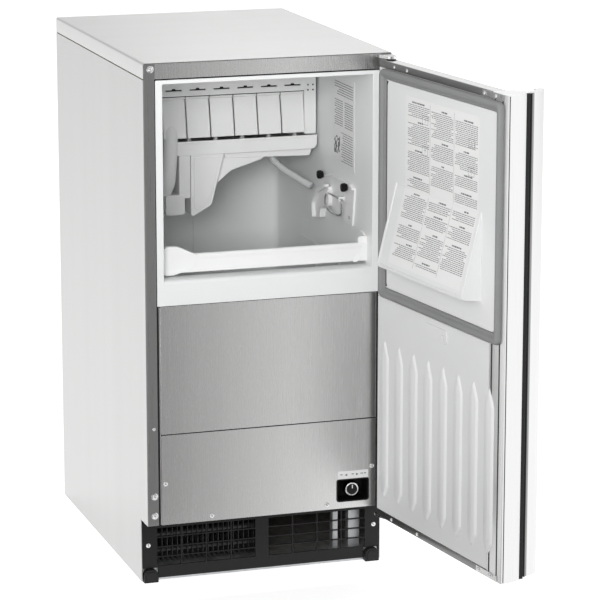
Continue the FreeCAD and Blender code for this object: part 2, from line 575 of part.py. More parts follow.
def gate():
    inner = "(bin_width / 2 - gate_side_gap)"
    bar = box("gate_bar", [f"2 * {inner}", "gate_thick", "gate_height"],
              [f"-{inner}", behind("gate_front"), "gate_bottom"])
    bead = cylinder("gate_bead", "gate_thick / 2 + 1", f"2 * {inner}",
                    [f"-{inner}", behind("gate_front + gate_thick / 2"), "gate_bottom + gate_height"], "x")
    rise = "gate_bottom + gate_height"
    wing = [("gate_front", "gate_bottom"), ("gate_front", rise), ("gate_front + 12", f"{rise} + 13"),
            ("gate_front + 26", f"{rise} + 13"), ("gate_pivot_y + 8", "gate_pivot_z + 6"),
            ("gate_pivot_y + 8", "gate_pivot_z - 8"), ("gate_front + 22", "gate_bottom")]
    wings = [prism(f"gate_wing_{side}", "YZ", wing, "gate_wing_thick", [x, FRONT, "0"])
             for side, x in (("left", f"-{inner}"), ("right", f"{inner} - gate_wing_thick"))]
    pins = [cylinder(f"gate_pin_{side}", "gate_pin", "gate_side_gap + bin_wall + gate_wing_thick - 0.5",
                     [x, behind("gate_pivot_y"), "gate_pivot_z"], "x")
            for side, x in (("left", f"-{SHELL_HALF} + 0.5"), ("right", f"{inner} - gate_wing_thick"))]
    tab = box("gate_tab", ["18", "3", "10"], [f"{inner} - 30", behind("gate_front + 1"), f"{rise} - 1"])
    keep(fuse("bin_gate", bar, bead, tab, *wings, *pins))


# ---------------------------------------------------------------- refrigeration set
def refrigeration():
    left = "-160"
    low = "base_height + 4"
    front = "toe_depth + base_inset + 12"
    fins = [box(f"fin_{number}", ["0.8", "condenser_depth", "condenser_height"],
                [f"{left} + {number} * fin_pitch", behind(front), low])
            for number in range(int(SIZES["condenser_width"] // SIZES["fin_pitch"]) + 1)]
    rows = [cylinder(f"coil_row_{line}_{deep}", "4", "condenser_width + 6",
                     [f"{left} - 3", behind(f"{front} + 9 + {deep} * 16"),
                      f"{low} + 16 + {line} * 25"], "x")
            for line in range(6) for deep in range(2)]
    bends = [span(f"coil_end_{side}", x, [behind(f"{front} + 1"), behind(f"{front} + condenser_depth - 1")],
                  [low, f"{low} + condenser_height"])
             for side, x in (("left", [f"{left} - 1.5", f"{left} + 0.3"]),
                             ("right", [f"{left} + condenser_width - 0.5",
                                        f"{left} + condenser_width + 1"]))]
    keep(fuse("condenser_coil", *fins, *rows, *bends))

    shroud_y = f"{front} + condenser_depth + 2"
    fan_x = f"{left} + condenser_width / 2"
    fan_z = f"{low} + condenser_height / 2"
    board = span("shroud_board", [f"{left} - 1", f"{left} + condenser_width + 1"],
                 [behind(shroud_y), behind(f"{shroud_y} + 2")], ["base_height",
                                                                 f"{low} + condenser_height"])
    throat = cylinder("shroud_throat", "fan_radius + 4", "6", [fan_x, behind(f"{shroud_y} - 2"), fan_z],
                      "y")
    post = span("shroud_post", [f"{left} + condenser_width - 8", f"{left} + condenser_width + 1"],
                [behind(f"{shroud_y} + 2"), behind(f"{shroud_y} + 62")], ["base_height",
                                                                          "base_height + 12"])
    keep(cut("fan_shroud", fuse("shroud_solid", board, post), throat))
    hub = cylinder("fan_hub_disc", "fan_hub", "16", [fan_x, behind(f"{shroud_y} + 5"), fan_z], "y")
    keep(fan_blades(hub, fan_x, f"{shroud_y} + 7", fan_z))
    motor = cylinder("motor_can", "26", "38", [fan_x, behind(f"{shroud_y} + 26"), fan_z], "y")
    shaft = cylinder("motor_shaft", "3", "6", [fan_x, behind(f"{shroud_y} + 21.3"), fan_z], "y")
    stand = span("motor_stand", [f"{fan_x} - 8", f"{fan_x} + 8"],
                 [behind(f"{shroud_y} + 34"), behind(f"{shroud_y} + 56")],
                 ["base_height", fan_z])
    keep(fuse("fan_motor", motor, shaft, stand))

    can_x = "85"
    can_y = back("skin + 50 + compressor_radius")
    foot = "base_height + 12"
    half_can = [("0", "0"), ("compressor_radius - 14", "0"), ("compressor_radius", "14"),
                ("compressor_radius", "compressor_height - 34"), ("compressor_radius - 16",
                                                                  "compressor_height - 10"),
                ("compressor_radius - 40", "compressor_height"), ("0", "compressor_height")]
    keep(turned("compressor", half_can, [can_x, can_y, foot]))
    keep(group("compressor_grommets", *[
        cylinder(f"grommet_{x}_{y}", "9", "12", [f"{can_x} + {x} * 38", f"{can_y} + {y} * 38",
                                                 "base_height"])
        for x in (-1, 1) for y in (-1, 1)]))
    can_top = f"{foot} + compressor_height"
    level = f"{can_top} + 14"
    rising = piping("line_rising", [[can_x, can_y, f"{can_top} + 0.3"], [can_x, can_y, level],
                                    ["105", can_y, level]], "3")
    drier = cylinder("filter_drier", "9", "50", ["105", can_y, level], "x")
    onward = piping("line_onward", [["155", can_y, level], [LINE_X, can_y, level], [LINE_X, LINE_Y, level],
                                    [LINE_X, LINE_Y, "foam_floor + 60"]], "3")
    keep(group("refrigerant_lines", rising, drier, onward))
    valve = box("valve_block", ["40", "44", "36"], [f"{WATER_INLET[0]} - 20", back("skin + 50"),
                                                    f"{WATER_INLET[1]} - 18"])
    collar = cylinder("valve_collar", "inlet_radius", "10", [WATER_INLET[0], back("10"), WATER_INLET[1]],
                      "y")
    stub = cylinder("valve_stub", "inlet_radius - stub_step", "stub_length + 1",
                    [WATER_INLET[0], back("1"), WATER_INLET[1]], "y")
    keep(fuse("water_inlet_valve", valve, collar, stub))
    drop = cylinder("drain_drop", "drain_radius", f"bin_floor - ({DRAIN_OUTLET[1]})",
                    ["0", DRAIN_Y, DRAIN_OUTLET[1]])
    run = cylinder("drain_run", "drain_radius", "bin_back_gap + 40", ["0", DRAIN_Y, DRAIN_OUTLET[1]], "y")
    tail = cylinder("drain_stub", "drain_radius - stub_step", "stub_length + 1",
                    ["0", back("1"), DRAIN_OUTLET[1]], "y")
    knee = doc.addObject("Part::Sphere", "drain_knee")
    knee.setExpression("Radius", bound("drain_radius"))
    place(knee, ["0", DRAIN_Y, DRAIN_OUTLET[1]])
    down_way = cylinder("drain_down_way", "drain_radius - 3.5", f"bin_floor - ({DRAIN_OUTLET[1]}) + 1",
                        ["0", DRAIN_Y, DRAIN_OUTLET[1]])
    out_way = cylinder("drain_out_way", "drain_radius - 3.5", "bin_back_gap + 41 + stub_length",
                       ["0", DRAIN_Y, DRAIN_OUTLET[1]], "y")
    keep(cut("drain_pipe", fuse("drain_solid", drop, run, tail, knee), down_way, out_way))
    plate = box("gland_plate", ["34", "5", "30"], [f"{POWER_INLET[0]} - 17", back("skin + 5.5"),
                                                   f"{POWER_INLET[1]} - 15"])
    neck = cylinder("gland_neck", "gland_radius", "14", [POWER_INLET[0], back("3"), POWER_INLET[1]], "y")
    eye = cylinder("gland_eye", "4.5", "30", [POWER_INLET[0], back("10"), POWER_INLET[1]], "y")
    keep(cut("power_inlet_gland", fuse("gland_solid", plate, neck), eye))


def fan_blades(hub, x, y, z):
    """Flat blades set at a slant round the hub."""
    blades = []
    for number in range(int(SIZES["fan_blades"])):
        blade = doc.addObject("Part::Box", f"blade_{number + 1}")
        blade.setExpression("Length", bound("fan_radius - 8"))
        blade.Width = 2
        blade.Height = 34
        spin = FreeCAD.Rotation(FreeCAD.Vector(0, 1, 0), number * 360 / SIZES["fan_blades"])
        slant = FreeCAD.Rotation(FreeCAD.Vector(1, 0, 0), 18)
        blade.Placement.Rotation = spin.multiply(slant)
        blades.append(place(blade, [x, behind(f"{y} + 1"), z]))
    rough = fuse("fan_rough", hub, *blades)
    rough.Refine = False
    envelope = cylinder("fan_envelope", "fan_radius", "16", [x, behind(f"{y} - 2"), z], "y")
    trimmed = doc.addObject("Part::Common", "condenser_fan")
    trimmed.Base = rough
    trimmed.Tool = envelope
    return trimmed


# ---------------------------------------------------------------- door, drawn about its hinge axis
DOOR_WIDTH = "(cabinet_width - 2)"
EDGE = "hinge_inset"
FREE = f"({EDGE} - {DOOR_WIDTH})"
INNER = "hinge_depth"
OUTER = "(hinge_depth - door_thick)"
CENTRE = f"({EDGE} - {DOOR_WIDTH} / 2)"
SKIN_FREE = f"({FREE} + handle_width)"


def door():
    skin_top = f"({DOOR_TOP} - 1)"
    pan = span("pan_outer", [SKIN_FREE, EDGE], [OUTER, f"{INNER} - channel_thick - seam"],
               ["door_bottom + 1", skin_top])
    pan_in = span("pan_inner", [f"{SKIN_FREE} + door_skin", f"{EDGE} - door_skin"],
                  [f"{OUTER} + door_skin", f"{INNER} + 1"],
                  ["door_bottom + 1 + door_skin", f"{skin_top} - door_skin"])
    pin_way = cylinder("pan_pin_way", "bushing_radius + seam", "cabinet_height", ["0", "0", "0"])
    keep_on_door("door_outer_skin", cut("door_pan", pan, pan_in, pin_way))
    foam = span("foam_outer", [f"{SKIN_FREE} + door_skin + seam", f"{EDGE} - door_skin - seam"],
                [f"{OUTER} + door_skin + seam", f"{INNER} - channel_thick - seam"],
                ["door_bottom + 1 + door_skin + seam", f"{skin_top} - door_skin - seam"])
    foam_way = cylinder("foam_pin_way", "bushing_radius + seam", "cabinet_height", ["0", "0", "0"])
    keep_on_door("door_insulation", cut("door_foam", foam, foam_way))
    door_handle()
    door_channels()
    bushes = []
    for end, low in (("top", f"{DOOR_TOP} - bushing_length"), ("bottom", "door_bottom")):
        sleeve = cylinder(f"bushing_{end}_sleeve", "bushing_radius", "bushing_length", ["0", "0", low])
        bore = cylinder(f"bushing_{end}_bore", "hinge_pin + pin_clearance", "bushing_length + 2",
                        ["0", "0", f"{low} - 1"])
        bushes.append(cut(f"bushing_{end}", sleeve, bore))
    keep_on_door("hinge_bushings", *bushes)
    gasket_and_upper_panel()
    lower_panel()


def door_handle():
    """The full-height grip along the free edge, one extrusion with a finger groove on its hinge side."""
    depth = [("0", "0"), ("0", "6"), ("1.5", "20"), ("4", "28"), ("7", "32"), ("11", "33.5"),
             ("11", "40.5"),
             ("12", "42"), ("14", "46"), ("17", "54"), ("22", "65"), ("28", "73"), ("36", "handle_depth"),
             ("handle_width - 1", "handle_depth - 1"), ("handle_width", "handle_depth - 4"),
             ("handle_width", "64"), ("30", "61"), ("25", "53"), ("25", "44"), ("30", "36"),
             ("handle_width", "32"), ("handle_width", "0")]
    profile = [(f"{FREE} + {across}", f"{INNER} - ({deep})") for across, deep in depth]
    grip = prism("handle_extrusion", "XY", profile, f"{DOOR_TOP} - door_bottom - 1",
                 ["0", "0", "door_bottom + 0.5"])
    keep_on_door("door_handle", grip)
    strip = span("insert_strip", [f"{FREE} + 7.5", f"{FREE} + 10.8"], [f"{INNER} - 40", f"{INNER} - 34"],
                 ["door_bottom + 1", f"{DOOR_TOP} - 1"])
    keep_on_door("handle_insert", strip)


def door_channels():
    """The closing strips along the top and bottom of the inner face, with their free-corner plates."""
    pieces = []
    for end, low in (("top", f"{DOOR_TOP} - channel_height"), ("bottom", "door_bottom")):
        strip = span(f"{end}_strip", [f"{SKIN_FREE} + seam", EDGE], [f"{INNER} - channel_thick", INNER],
                     [low, f"{low} + channel_height"])
        way = cylinder(f"{end}_strip_way", "bushing_radius + seam", "channel_height + 2",
                       ["0", "0", f"{low} - 1"])
        pieces.append(cut(f"{end}_channel", strip, way))
        pieces.append(span(f"{end}_corner_plate", [f"{FREE} + 10", f"{SKIN_FREE} + 28.4"],
                           [INNER, f"{INNER} + 1"], [f"{low} + 1", f"{low} + channel_height - 1"]))
    keep_on_door("door_channels", *pieces)
    tops = [[f"{EDGE} - {x}", INNER, f"{DOOR_TOP} - 6"] for x in ("47", "86")]
    lows = [[f"{EDGE} - {x}", INNER, "door_bottom + 5"] for x in ("47", "128")]
    corners = [[f"{FREE} + {x}", f"{INNER} + 1", z]
               for x in ("62", "30") for z in (f"{DOOR_TOP} - 5.5", "door_bottom + 5.5")]
    heads = [cylinder(f"door_screw_{number}", "screw_radius - 0.5", "1.5", spot, "y")
             for number, spot in enumerate(tops + lows + corners, start=1)]
    keep_on_door("door_screws", *heads)


def gasket_and_upper_panel():
    """The magnetic gasket's ring round the light upper panel with its ice deflector."""
    gasket_top = f"({DOOR_TOP} - channel_height - 0.5)"
    ring = span("gasket_outer", [f"{CENTRE} - gasket_half", f"{CENTRE} + gasket_half"],
                [INNER, f"{INNER} + gasket_depth"], ["gasket_bottom", gasket_top])
    hole = span("gasket_hole", [f"{CENTRE} - gasket_half + gasket_width",
                                f"{CENTRE} + gasket_half - gasket_width"],
                [f"{INNER} - 1", f"{INNER} + gasket_depth + 1"],
                ["gasket_bottom + gasket_width", f"{gasket_top} - gasket_width"])
    keep_on_door("door_gasket", cut("gasket_ring", ring, hole))
    panel = span("upper_sheet", [f"{SKIN_FREE} + seam", EDGE], [f"{INNER} - channel_thick", INNER],
                 ["gasket_bottom - 2", f"{gasket_top} + 0.2"])
    keep_on_door("upper_inner_panel", panel)
    top = "(cabinet_height - wedge_top_drop)"
    side = [(INNER, top), (f"{INNER} + wedge_depth", "wedge_low + 6"),
            (f"{INNER} + wedge_depth", "wedge_low"),
            (INNER, "wedge_low - 4")]
    keep_on_door("ice_deflector", prism("deflector_wedge", "YZ", side, "2 * wedge_half",
                                        [f"{CENTRE} - wedge_half + 4", "0", "0"]))
    keep_on_door("instruction_sheet", span("sheet_card", [f"{CENTRE} - 113", f"{CENTRE} + 102"],
                                           [INNER, f"{INNER} + 0.4"], [f"{top} + 2", f"{top} + 128"]))


def lower_panel():
    """The lower inner panel: a sheet with a row of raised pointed flutes, and the small catch cover."""
    sheet_low = span("lower_inner_sheet", [f"{SKIN_FREE} + seam", EDGE],
                     [f"{INNER} - channel_thick", INNER],
                     ["door_bottom + channel_height + seam", "gasket_bottom - 2.5"])
    flutes = []
    for number in range(8):
        middle = f"({FREE} + 38.5 + {number} * flute_pitch)"
        points = [(f"{middle} - flute_width / 2", "flute_bottom + 20"), (middle, "flute_bottom"),
                  (f"{middle} + flute_width / 2", "flute_bottom + 20"), (f"{middle} + flute_width / 2",
                                                                         "flute_top - 30"),
                  (middle, "flute_top"), (f"{middle} - flute_width / 2", "flute_top - 30")]
        flutes.append(prism(f"flute_{number + 1}", "XZ", points, "2.5", ["0", INNER, "0"]))
    keep_on_door("lower_inner_panel", fuse("lower_inner_solid", sheet_low, *flutes))
    cover = span("catch_sheet", [f"{CENTRE} - 25", f"{CENTRE} + 41"], [INNER, f"{INNER} + 2"],
                 ["gasket_bottom - 31.5", "gasket_bottom - 11"])
    eye = cylinder("catch_eye", "3", "8", [f"{CENTRE} - 15", f"{INNER} - 1", "gasket_bottom - 22"], "y")
    keep_on_door("catch_cover", cut("catch_plate", cover, eye))


# ---------------------------------------------------------------- hinge brackets, fixed to the cabinet
def hinge_brackets():
    brackets = []
    for end, low, ear_low, ear_high, pin_low in (
            ("top", f"{DOOR_TOP} + 1", f"{DOOR_TOP} - 10", f"{DOOR_TOP} + 1 + bracket_thick",
             f"{DOOR_TOP} - 11"),
            ("bottom", "door_bottom - 1 - bracket_thick", "door_bottom - 1 - bracket_thick",
             "toe_height + 22",
             "door_bottom - 1.5")):
        arm = span(f"{end}_arm", [f"{HALF} - 2 - bracket_width", f"{HALF} - 2"], [f"{HINGE_Y} - 9", FRONT],
                   [low, f"{low} + bracket_thick"])
        ear = span(f"{end}_ear", [f"{HALF} - 16", f"{HALF} - 2"], [f"{FRONT} - 3", FRONT],
                   [ear_low, ear_high])
        pin = cylinder(f"{end}_pin", "hinge_pin", "12.5", [HINGE_X, HINGE_Y, pin_low])
        brackets.append(fuse(f"{end}_bracket", arm, ear, pin))
    keep(group("hinge_brackets", *brackets))


cabinet_shell()
base()
storage_bin()
front_panels()
ice_unit()
bin_control()
gate()
refrigeration()
door()
hinge_brackets()
doc.recompute()


# ---------------------------------------------------------------- checks and files
def check(objects):
    """Stops if any object failed, or any sub-part has no valid solid."""
    for obj in doc.Objects:
        wrong = [word for word in obj.State if word in ("Invalid", "Error")]
        if wrong:
            raise RuntimeError(f"{obj.Name}: {wrong}")
    for obj in objects:
        shape = obj.Shape
        if shape.isNull() or not shape.isValid() or not shape.Solids:
            raise RuntimeError(f"{obj.Label}: no valid solid")


check(subparts)
os.makedirs("parts", exist_ok=True)
for part in subparts:
    part.Shape.exportStep(f"parts/{part.Label}.step")
print(len(subparts), "sub-parts written")
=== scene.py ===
"""Looks of the under-counter ice maker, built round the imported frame.

Lengths are in millimetres until piece() turns them into metres.
"""
import json
import random
from math import atan2, cos, pi, radians, sin, tan

import bmesh
import bpy
from mathutils import Matrix, Vector


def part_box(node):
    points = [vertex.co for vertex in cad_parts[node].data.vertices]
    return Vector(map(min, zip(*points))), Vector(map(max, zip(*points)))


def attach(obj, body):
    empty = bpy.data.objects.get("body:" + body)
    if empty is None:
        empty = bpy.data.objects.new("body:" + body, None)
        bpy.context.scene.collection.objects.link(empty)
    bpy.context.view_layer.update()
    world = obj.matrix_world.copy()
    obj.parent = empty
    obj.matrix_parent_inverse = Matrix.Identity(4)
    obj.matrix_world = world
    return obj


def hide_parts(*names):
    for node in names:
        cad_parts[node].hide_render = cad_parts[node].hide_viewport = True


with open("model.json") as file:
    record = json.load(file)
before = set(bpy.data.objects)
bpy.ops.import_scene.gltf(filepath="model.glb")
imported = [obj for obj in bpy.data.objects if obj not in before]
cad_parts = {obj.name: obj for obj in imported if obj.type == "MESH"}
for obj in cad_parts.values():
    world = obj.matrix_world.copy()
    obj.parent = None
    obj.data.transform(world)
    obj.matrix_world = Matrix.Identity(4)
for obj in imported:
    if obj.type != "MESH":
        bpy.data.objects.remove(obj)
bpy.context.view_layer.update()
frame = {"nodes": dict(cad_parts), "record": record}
MM = 0.001
SEED = 7
scene = bpy.context.scene


def box_of(node):
    """A CAD node's ranges on x, y and z, in millimetres."""
    low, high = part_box(node)
    return [(a / MM, b / MM) for a, b in zip(low, high)]


# ---------- mesh helpers
PLANES = {"xy": (0, 1, 2), "xz": (0, 2, 1), "yz": (1, 2, 0)}
BOX_FACES = ((0, 1, 3, 2), (4, 6, 7, 5), (0, 4, 5, 1), (2, 3, 7, 6), (0, 2, 6, 4), (1, 5, 7, 3))


def add_block(bm, corners):
    """A six-sided block from eight corners, in the order low-high on x, then y, then z."""
    verts = [bm.verts.new(corner) for corner in corners]
    for face in BOX_FACES:
        bm.faces.new([verts[number] for number in face])


def add_box(bm, x, y, z):
    add_block(bm, [(a, b, c) for a in x for b in y for c in z])


def soft(points, steps=5):
    """A closed outline whose corners are rounded where a point has a radius as its third number."""
    out = []
    total = len(points)
    for number, point in enumerate(points):
        here = Vector(point[:2])
        radius = point[2] if len(point) > 2 else 0
        if not radius:
            out.append(tuple(here))
            continue
        before = Vector(points[number - 1][:2]) - here
        after = Vector(points[(number + 1) % total][:2]) - here
        half = before.angle(after) / 2
        reach = min(radius / tan(half), before.length * 0.49, after.length * 0.49)
        radius = reach * tan(half)
        centre = here + (before.normalized() + after.normalized()).normalized() * (radius / sin(half))
        first = here + before.normalized() * reach - centre
        last = here + after.normalized() * reach - centre
        start = atan2(first.y, first.x)
        turn = atan2(last.y, last.x) - start
        turn = (turn + pi) % (2 * pi) - pi
        for step in range(steps + 1):
            angle = start + turn * step / steps
            out.append((centre.x + radius * cos(angle), centre.y + radius * sin(angle)))
    return out


def rect(across, up, radius=0, steps=5):
    """A rectangle's outline; one radius, or four from the low-low corner anticlockwise."""
    radii = radius if isinstance(radius, tuple) else (radius,) * 4
    (left, right), (low, high) = across, up
    corners = (left, low), (right, low), (right, high), (left, high)
    return soft([(*corner, size) for corner, size in zip(corners, radii)], steps)


def add_sheet(bm, loops, plane, low, high):
    """A flat outline, with any further loops as holes, given a thickness along the plane's normal."""
    u, v, w = PLANES[plane]
    edges = []
    spots = []
    for loop in loops:
        spots = []
        for across, up in loop:
            spot = [0, 0, 0]
            spot[u], spot[v], spot[w] = across, up, low
            spots.append(bm.verts.new(spot))
        edges += [bm.edges.new((spots[n], spots[(n + 1) % len(spots)])) for n in range(len(spots))]
    if len(loops) == 1:
        faces = [bm.faces.new(spots)]
    else:
        filled = bmesh.ops.triangle_fill(bm, use_beauty=True, edges=edges)
        faces = [item for item in filled["geom"] if isinstance(item, bmesh.types.BMFace)]
    copied = bmesh.ops.extrude_face_region(bm, geom=faces, use_keep_orig=True)
    shift = Vector((0, 0, 0))
    shift[w] = high - low
    verts = [item for item in copied["geom"] if isinstance(item, bmesh.types.BMVert)]
    bmesh.ops.translate(bm, vec=shift, verts=verts)


def skin_rings(bm, rings, closed=False, caps=True):
    """Joins rings of points, each with the same count, into one skin."""
    rows = [[bm.verts.new(point) for point in ring] for ring in rings]
    count = len(rows[0])
    pairs = list(zip(rows, rows[1:]))
    if closed:
        pairs.append((rows[-1], rows[0]))
    for near, far in pairs:
        for number in range(count):
            after = (number + 1) % count
            bm.faces.new((near[number], near[after], far[after], far[number]))
    if caps and not closed:
        bm.faces.new(rows[0][::-1])
        bm.faces.new(rows[-1])


def add_turned(bm, profile, at, axis, segments=24):
    """A profile of (radius, height) turned about an axis through a point."""
    turn = Vector((0, 0, 1)).rotation_difference(Vector(axis)).to_matrix()
    rings = []
    for radius, height in profile:
        ring = []
        for number in range(segments):
            angle = 2 * pi * number / segments
            spot = Vector((max(radius, 0.01) * cos(angle), max(radius, 0.01) * sin(angle), height))
            ring.append(Vector(at) + turn @ spot)
        rings.append(ring)
    skin_rings(bm, rings)


def smooth_path(points, rounds=3):
    """Cuts a path's corners so that it bends smoothly."""
    path = [Vector(point) for point in points]
    for _ in range(rounds):
        cut = [path[0]]
        for start, end in zip(path, path[1:]):
            cut += [start.lerp(end, 0.25), start.lerp(end, 0.75)]
        cut.append(path[-1])
        path = cut
    return path


def add_tube(bm, points, radius, segments=12):
    """A round tube along a path; radius is a number or a list, one for each point."""
    radii = radius if isinstance(radius, list) else [radius] * len(points)
    side = None
    rings = []
    for number, point in enumerate(points):
        ahead = points[min(number + 1, len(points) - 1)] - points[max(number - 1, 0)]
        ahead.normalize()
        if side is None:
            side = ahead.orthogonal().normalized()
        side = (side - ahead * side.dot(ahead)).normalized()
        across = ahead.cross(side)
        rings.append([point + (side * cos(a) + across * sin(a)) * radii[number]
                for a in (2 * pi * k / segments for k in range(segments))])
    skin_rings(bm, rings)


PAN_HEAD = ((1.0, 0.0), (1.0, 0.18), (0.9, 0.36), (0.66, 0.5), (0.42, 0.56), (0.3, 0.5), (0.2, 0.3),
        (0.0, 0.16))


def add_screw(bm, at, axis, radius=4.0, washer=False):
    """A pan-head screw with a driver recess."""
    base = Vector(at)
    if washer:
        add_turned(bm, [(radius * 1.45, 0), (radius * 1.45, 0.5), (radius * 1.2, 0.9), (0, 0.9)], base,
                axis, 20)
        base = base + Vector(axis) * 0.8
    add_turned(bm, [(r * radius, h * radius) for r, h in PAN_HEAD], base, axis, 20)


def baked(name, bm):
    mesh = bpy.data.meshes.new(name)
    bm.to_mesh(mesh)
    bm.free()
    return mesh


def piece(name, bm, finish, nodes=(), body="cabinet", edge=0.0, segments=0, angle=32):
    """Turns the mesh into an object in metres that rides on a body and stands for CAD nodes."""
    bmesh.ops.recalc_face_normals(bm, faces=bm.faces)
    if body == "door":
        bm.transform(DOOR)
    bm.transform(Matrix.Scale(MM, 4))
    mesh = baked(name, bm)
    made = bpy.data.objects.new(name, mesh)
    scene.collection.objects.link(made)
    material, slot = finish
    mesh.materials.append(material)
    mesh.shade_smooth()
    if edge:
        bevel = made.modifiers.new("edges", "BEVEL")
        bevel.width = edge * MM
        bevel.segments = segments or (3 if edge >= 0.7 else 2)
        bevel.limit_method = "ANGLE"
        bevel.angle_limit = radians(angle)
        bevel.harden_normals = True
    else:
        mesh.set_sharp_from_angle(angle=radians(angle))
    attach(made, body)
    if nodes:
        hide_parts(*nodes)
    return made


# ---------- materials
EVEN = (1, 1, 1)
UPRIGHT = (1, 1, 0.012)
LEVEL = (0.012, 1, 1)


def surface(name, color, rough, texture, metallic=0.0, grain=EVEN, sockets=None):
    """A principled surface: a fine grain and a broad cloud drive its colour, roughness and bump.

    texture is the grain's scale, how far it varies the colour and the roughness, its bump's strength
    and depth, the cloud's scale, and how far that varies the colour.
    """
    scale, vary, rough_vary, bump, depth, cloud, cloud_vary = texture
    material = bpy.data.materials.new(name)
    material.use_nodes = True
    tree = material.node_tree
    shader = tree.nodes["Principled BSDF"]
    shader.inputs["Metallic"].default_value = metallic
    for socket, setting in (sockets or {}).items():
        shader.inputs[socket].default_value = setting

    def node(kind, **settings):
        made = tree.nodes.new(kind)
        for key, setting in settings.items():
            made.inputs[key].default_value = setting
        return made

    def join(source, given, target, taken):
        tree.links.new(source.outputs[given], target.inputs[taken])

    spot = tree.nodes.new("ShaderNodeTexCoord")
    stretch = node("ShaderNodeMapping", Scale=grain)
    join(spot, "Object", stretch, "Vector")
    fine = node("ShaderNodeTexNoise", Scale=scale, Detail=4.0, Roughness=0.6)
    join(stretch, "Vector", fine, "Vector")
    broad = node("ShaderNodeTexNoise", Scale=cloud, Detail=3.0, Roughness=0.5)
    if max(grain) / min(grain) > 4:
        join(stretch, "Vector", broad, "Vector")
    else:
        join(spot, "Object", broad, "Vector")

    def ramp(source, low, high):
        """Spreads the middle of a noise over a range."""
        made = node("ShaderNodeMapRange", **{"From Min": 0.3, "From Max": 0.7, "To Min": low,
                "To Max": high})
        join(source, "Fac", made, "Value")
        return made

    tone = ramp(fine, 1 - vary, 1 + vary)
    shade = ramp(broad, 1 - cloud_vary, 1 + cloud_vary)
    both = tree.nodes.new("ShaderNodeMath")
    both.operation = "MULTIPLY"
    join(tone, "Result", both, 0)
    join(shade, "Result", both, 1)
    tint = tree.nodes.new("ShaderNodeVectorMath")
    tint.operation = "SCALE"
    tint.inputs[0].default_value = color
    join(both, "Value", tint, "Scale")
    join(tint, "Vector", shader, "Base Color")
    gloss = ramp(fine, max(rough - rough_vary, 0.02), min(rough + rough_vary, 1.0))
    join(gloss, "Result", shader, "Roughness")
    relief = node("ShaderNodeBump", Strength=bump, Distance=depth)
    join(fine, "Fac", relief, "Height")
    join(relief, "Normal", shader, "Normal")
    return material


def finish(slot, *look, **more):
    """A surface and the slot that its pieces belong to."""
    return surface(*look, **more), slot


CASING = finish("cabinet_steel", "casing_steel", (0.55, 0.55, 0.546), 0.36,
        (900, 0.014, 0.03, 0.06, 0.0001, 25, 0.014), 1.0, UPRIGHT)
LID = finish("cabinet_steel", "lid_steel", (0.63, 0.63, 0.626), 0.33,
        (900, 0.012, 0.03, 0.05, 0.0001, 20, 0.012), 1.0, LEVEL)
FRONT = finish("front_steel", "front_steel", (0.64, 0.64, 0.635), 0.26,
        (1100, 0.016, 0.03, 0.06, 0.0001, 30, 0.014), 1.0, UPRIGHT)
# A darker copy of the frame steel; its lower tone is painted shade on the door's channels and on the
# grip's band.
FRAME = finish("frame_steel", "frame_steel", (0.27, 0.27, 0.268), 0.36,
        (1000, 0.03, 0.05, 0.08, 0.0001, 25, 0.03), 1.0, UPRIGHT)
STILE = finish("frame_steel", "stile_steel", (0.36, 0.36, 0.357), 0.30,
        (1000, 0.02, 0.04, 0.08, 0.0001, 25, 0.02), 1.0, UPRIGHT)
WHITE = finish("white_plastic", "white_plastic", (0.84, 0.845, 0.84), 0.42,
        (1400, 0.012, 0.05, 0.08, 0.00008, 9, 0.012),
        sockets={"Subsurface Weight": 0.06, "Subsurface Radius": (0.004, 0.004, 0.004),
        "Subsurface Scale": 0.6})
LINER = finish("white_liner", "liner_white", (0.80, 0.81, 0.81), 0.34,
        (700, 0.012, 0.05, 0.07, 0.0001, 5, 0.015))
CLEAR = finish("white_plastic", "milky_plastic", (0.82, 0.83, 0.83), 0.22,
        (500, 0.02, 0.04, 0.06, 0.0001, 8, 0.02), sockets={"Transmission Weight": 0.45, "IOR": 1.46})
PANEL = finish("grey_panel", "grey_panel", (0.76, 0.765, 0.765), 0.40,
        (900, 0.014, 0.05, 0.08, 0.0001, 4, 0.015))
SEAL = finish("gasket_rubber", "seal_rubber", (0.235, 0.238, 0.238), 0.55,
        (1200, 0.03, 0.06, 0.12, 0.0001, 12, 0.03))
BLACK = finish("black_plastic", "black_plastic", (0.005, 0.005, 0.005), 0.5,
        (1500, 0.12, 0.08, 0.25, 0.00015, 8, 0.08), sockets={"Specular IOR Level": 0.3})
RUBBER = finish("rubber_black", "black_rubber", (0.010, 0.010, 0.010), 0.6,
        (1100, 0.12, 0.08, 0.2, 0.00015, 9, 0.08), sockets={"Specular IOR Level": 0.3})
CHROME = finish("steel_hardware", "bright_plate", (0.78, 0.78, 0.78), 0.16,
        (900, 0.03, 0.05, 0.05, 0.00005, 30, 0.03), 1.0)
TRIM = finish("aluminium_trim", "anodised_trim", (0.71, 0.71, 0.71), 0.32,
        (1200, 0.025, 0.05, 0.1, 0.00008, 20, 0.02), 1.0, UPRIGHT)
ZINC = finish("galvanised_steel", "galvanised", (0.52, 0.53, 0.54), 0.42,
        (70, 0.14, 0.10, 0.06, 0.0001, 14, 0.08), 0.85)
PAINT = finish("black_paint", "black_paint", (0.02, 0.02, 0.02), 0.32,
        (500, 0.1, 0.08, 0.12, 0.0001, 6, 0.06))
COPPER = finish("copper", "copper", (0.62, 0.33, 0.22), 0.32, (260, 0.08, 0.1, 0.08, 0.0001, 12, 0.1),
        1.0)
TINNED = finish("tinned_copper", "tinned", (0.60, 0.58, 0.55), 0.34,
        (300, 0.06, 0.08, 0.08, 0.0001, 14, 0.06), 1.0)
FOAM = finish("foam", "rigid_foam", (0.72, 0.62, 0.38), 0.9, (700, 0.08, 0.05, 0.6, 0.0006, 12, 0.08))
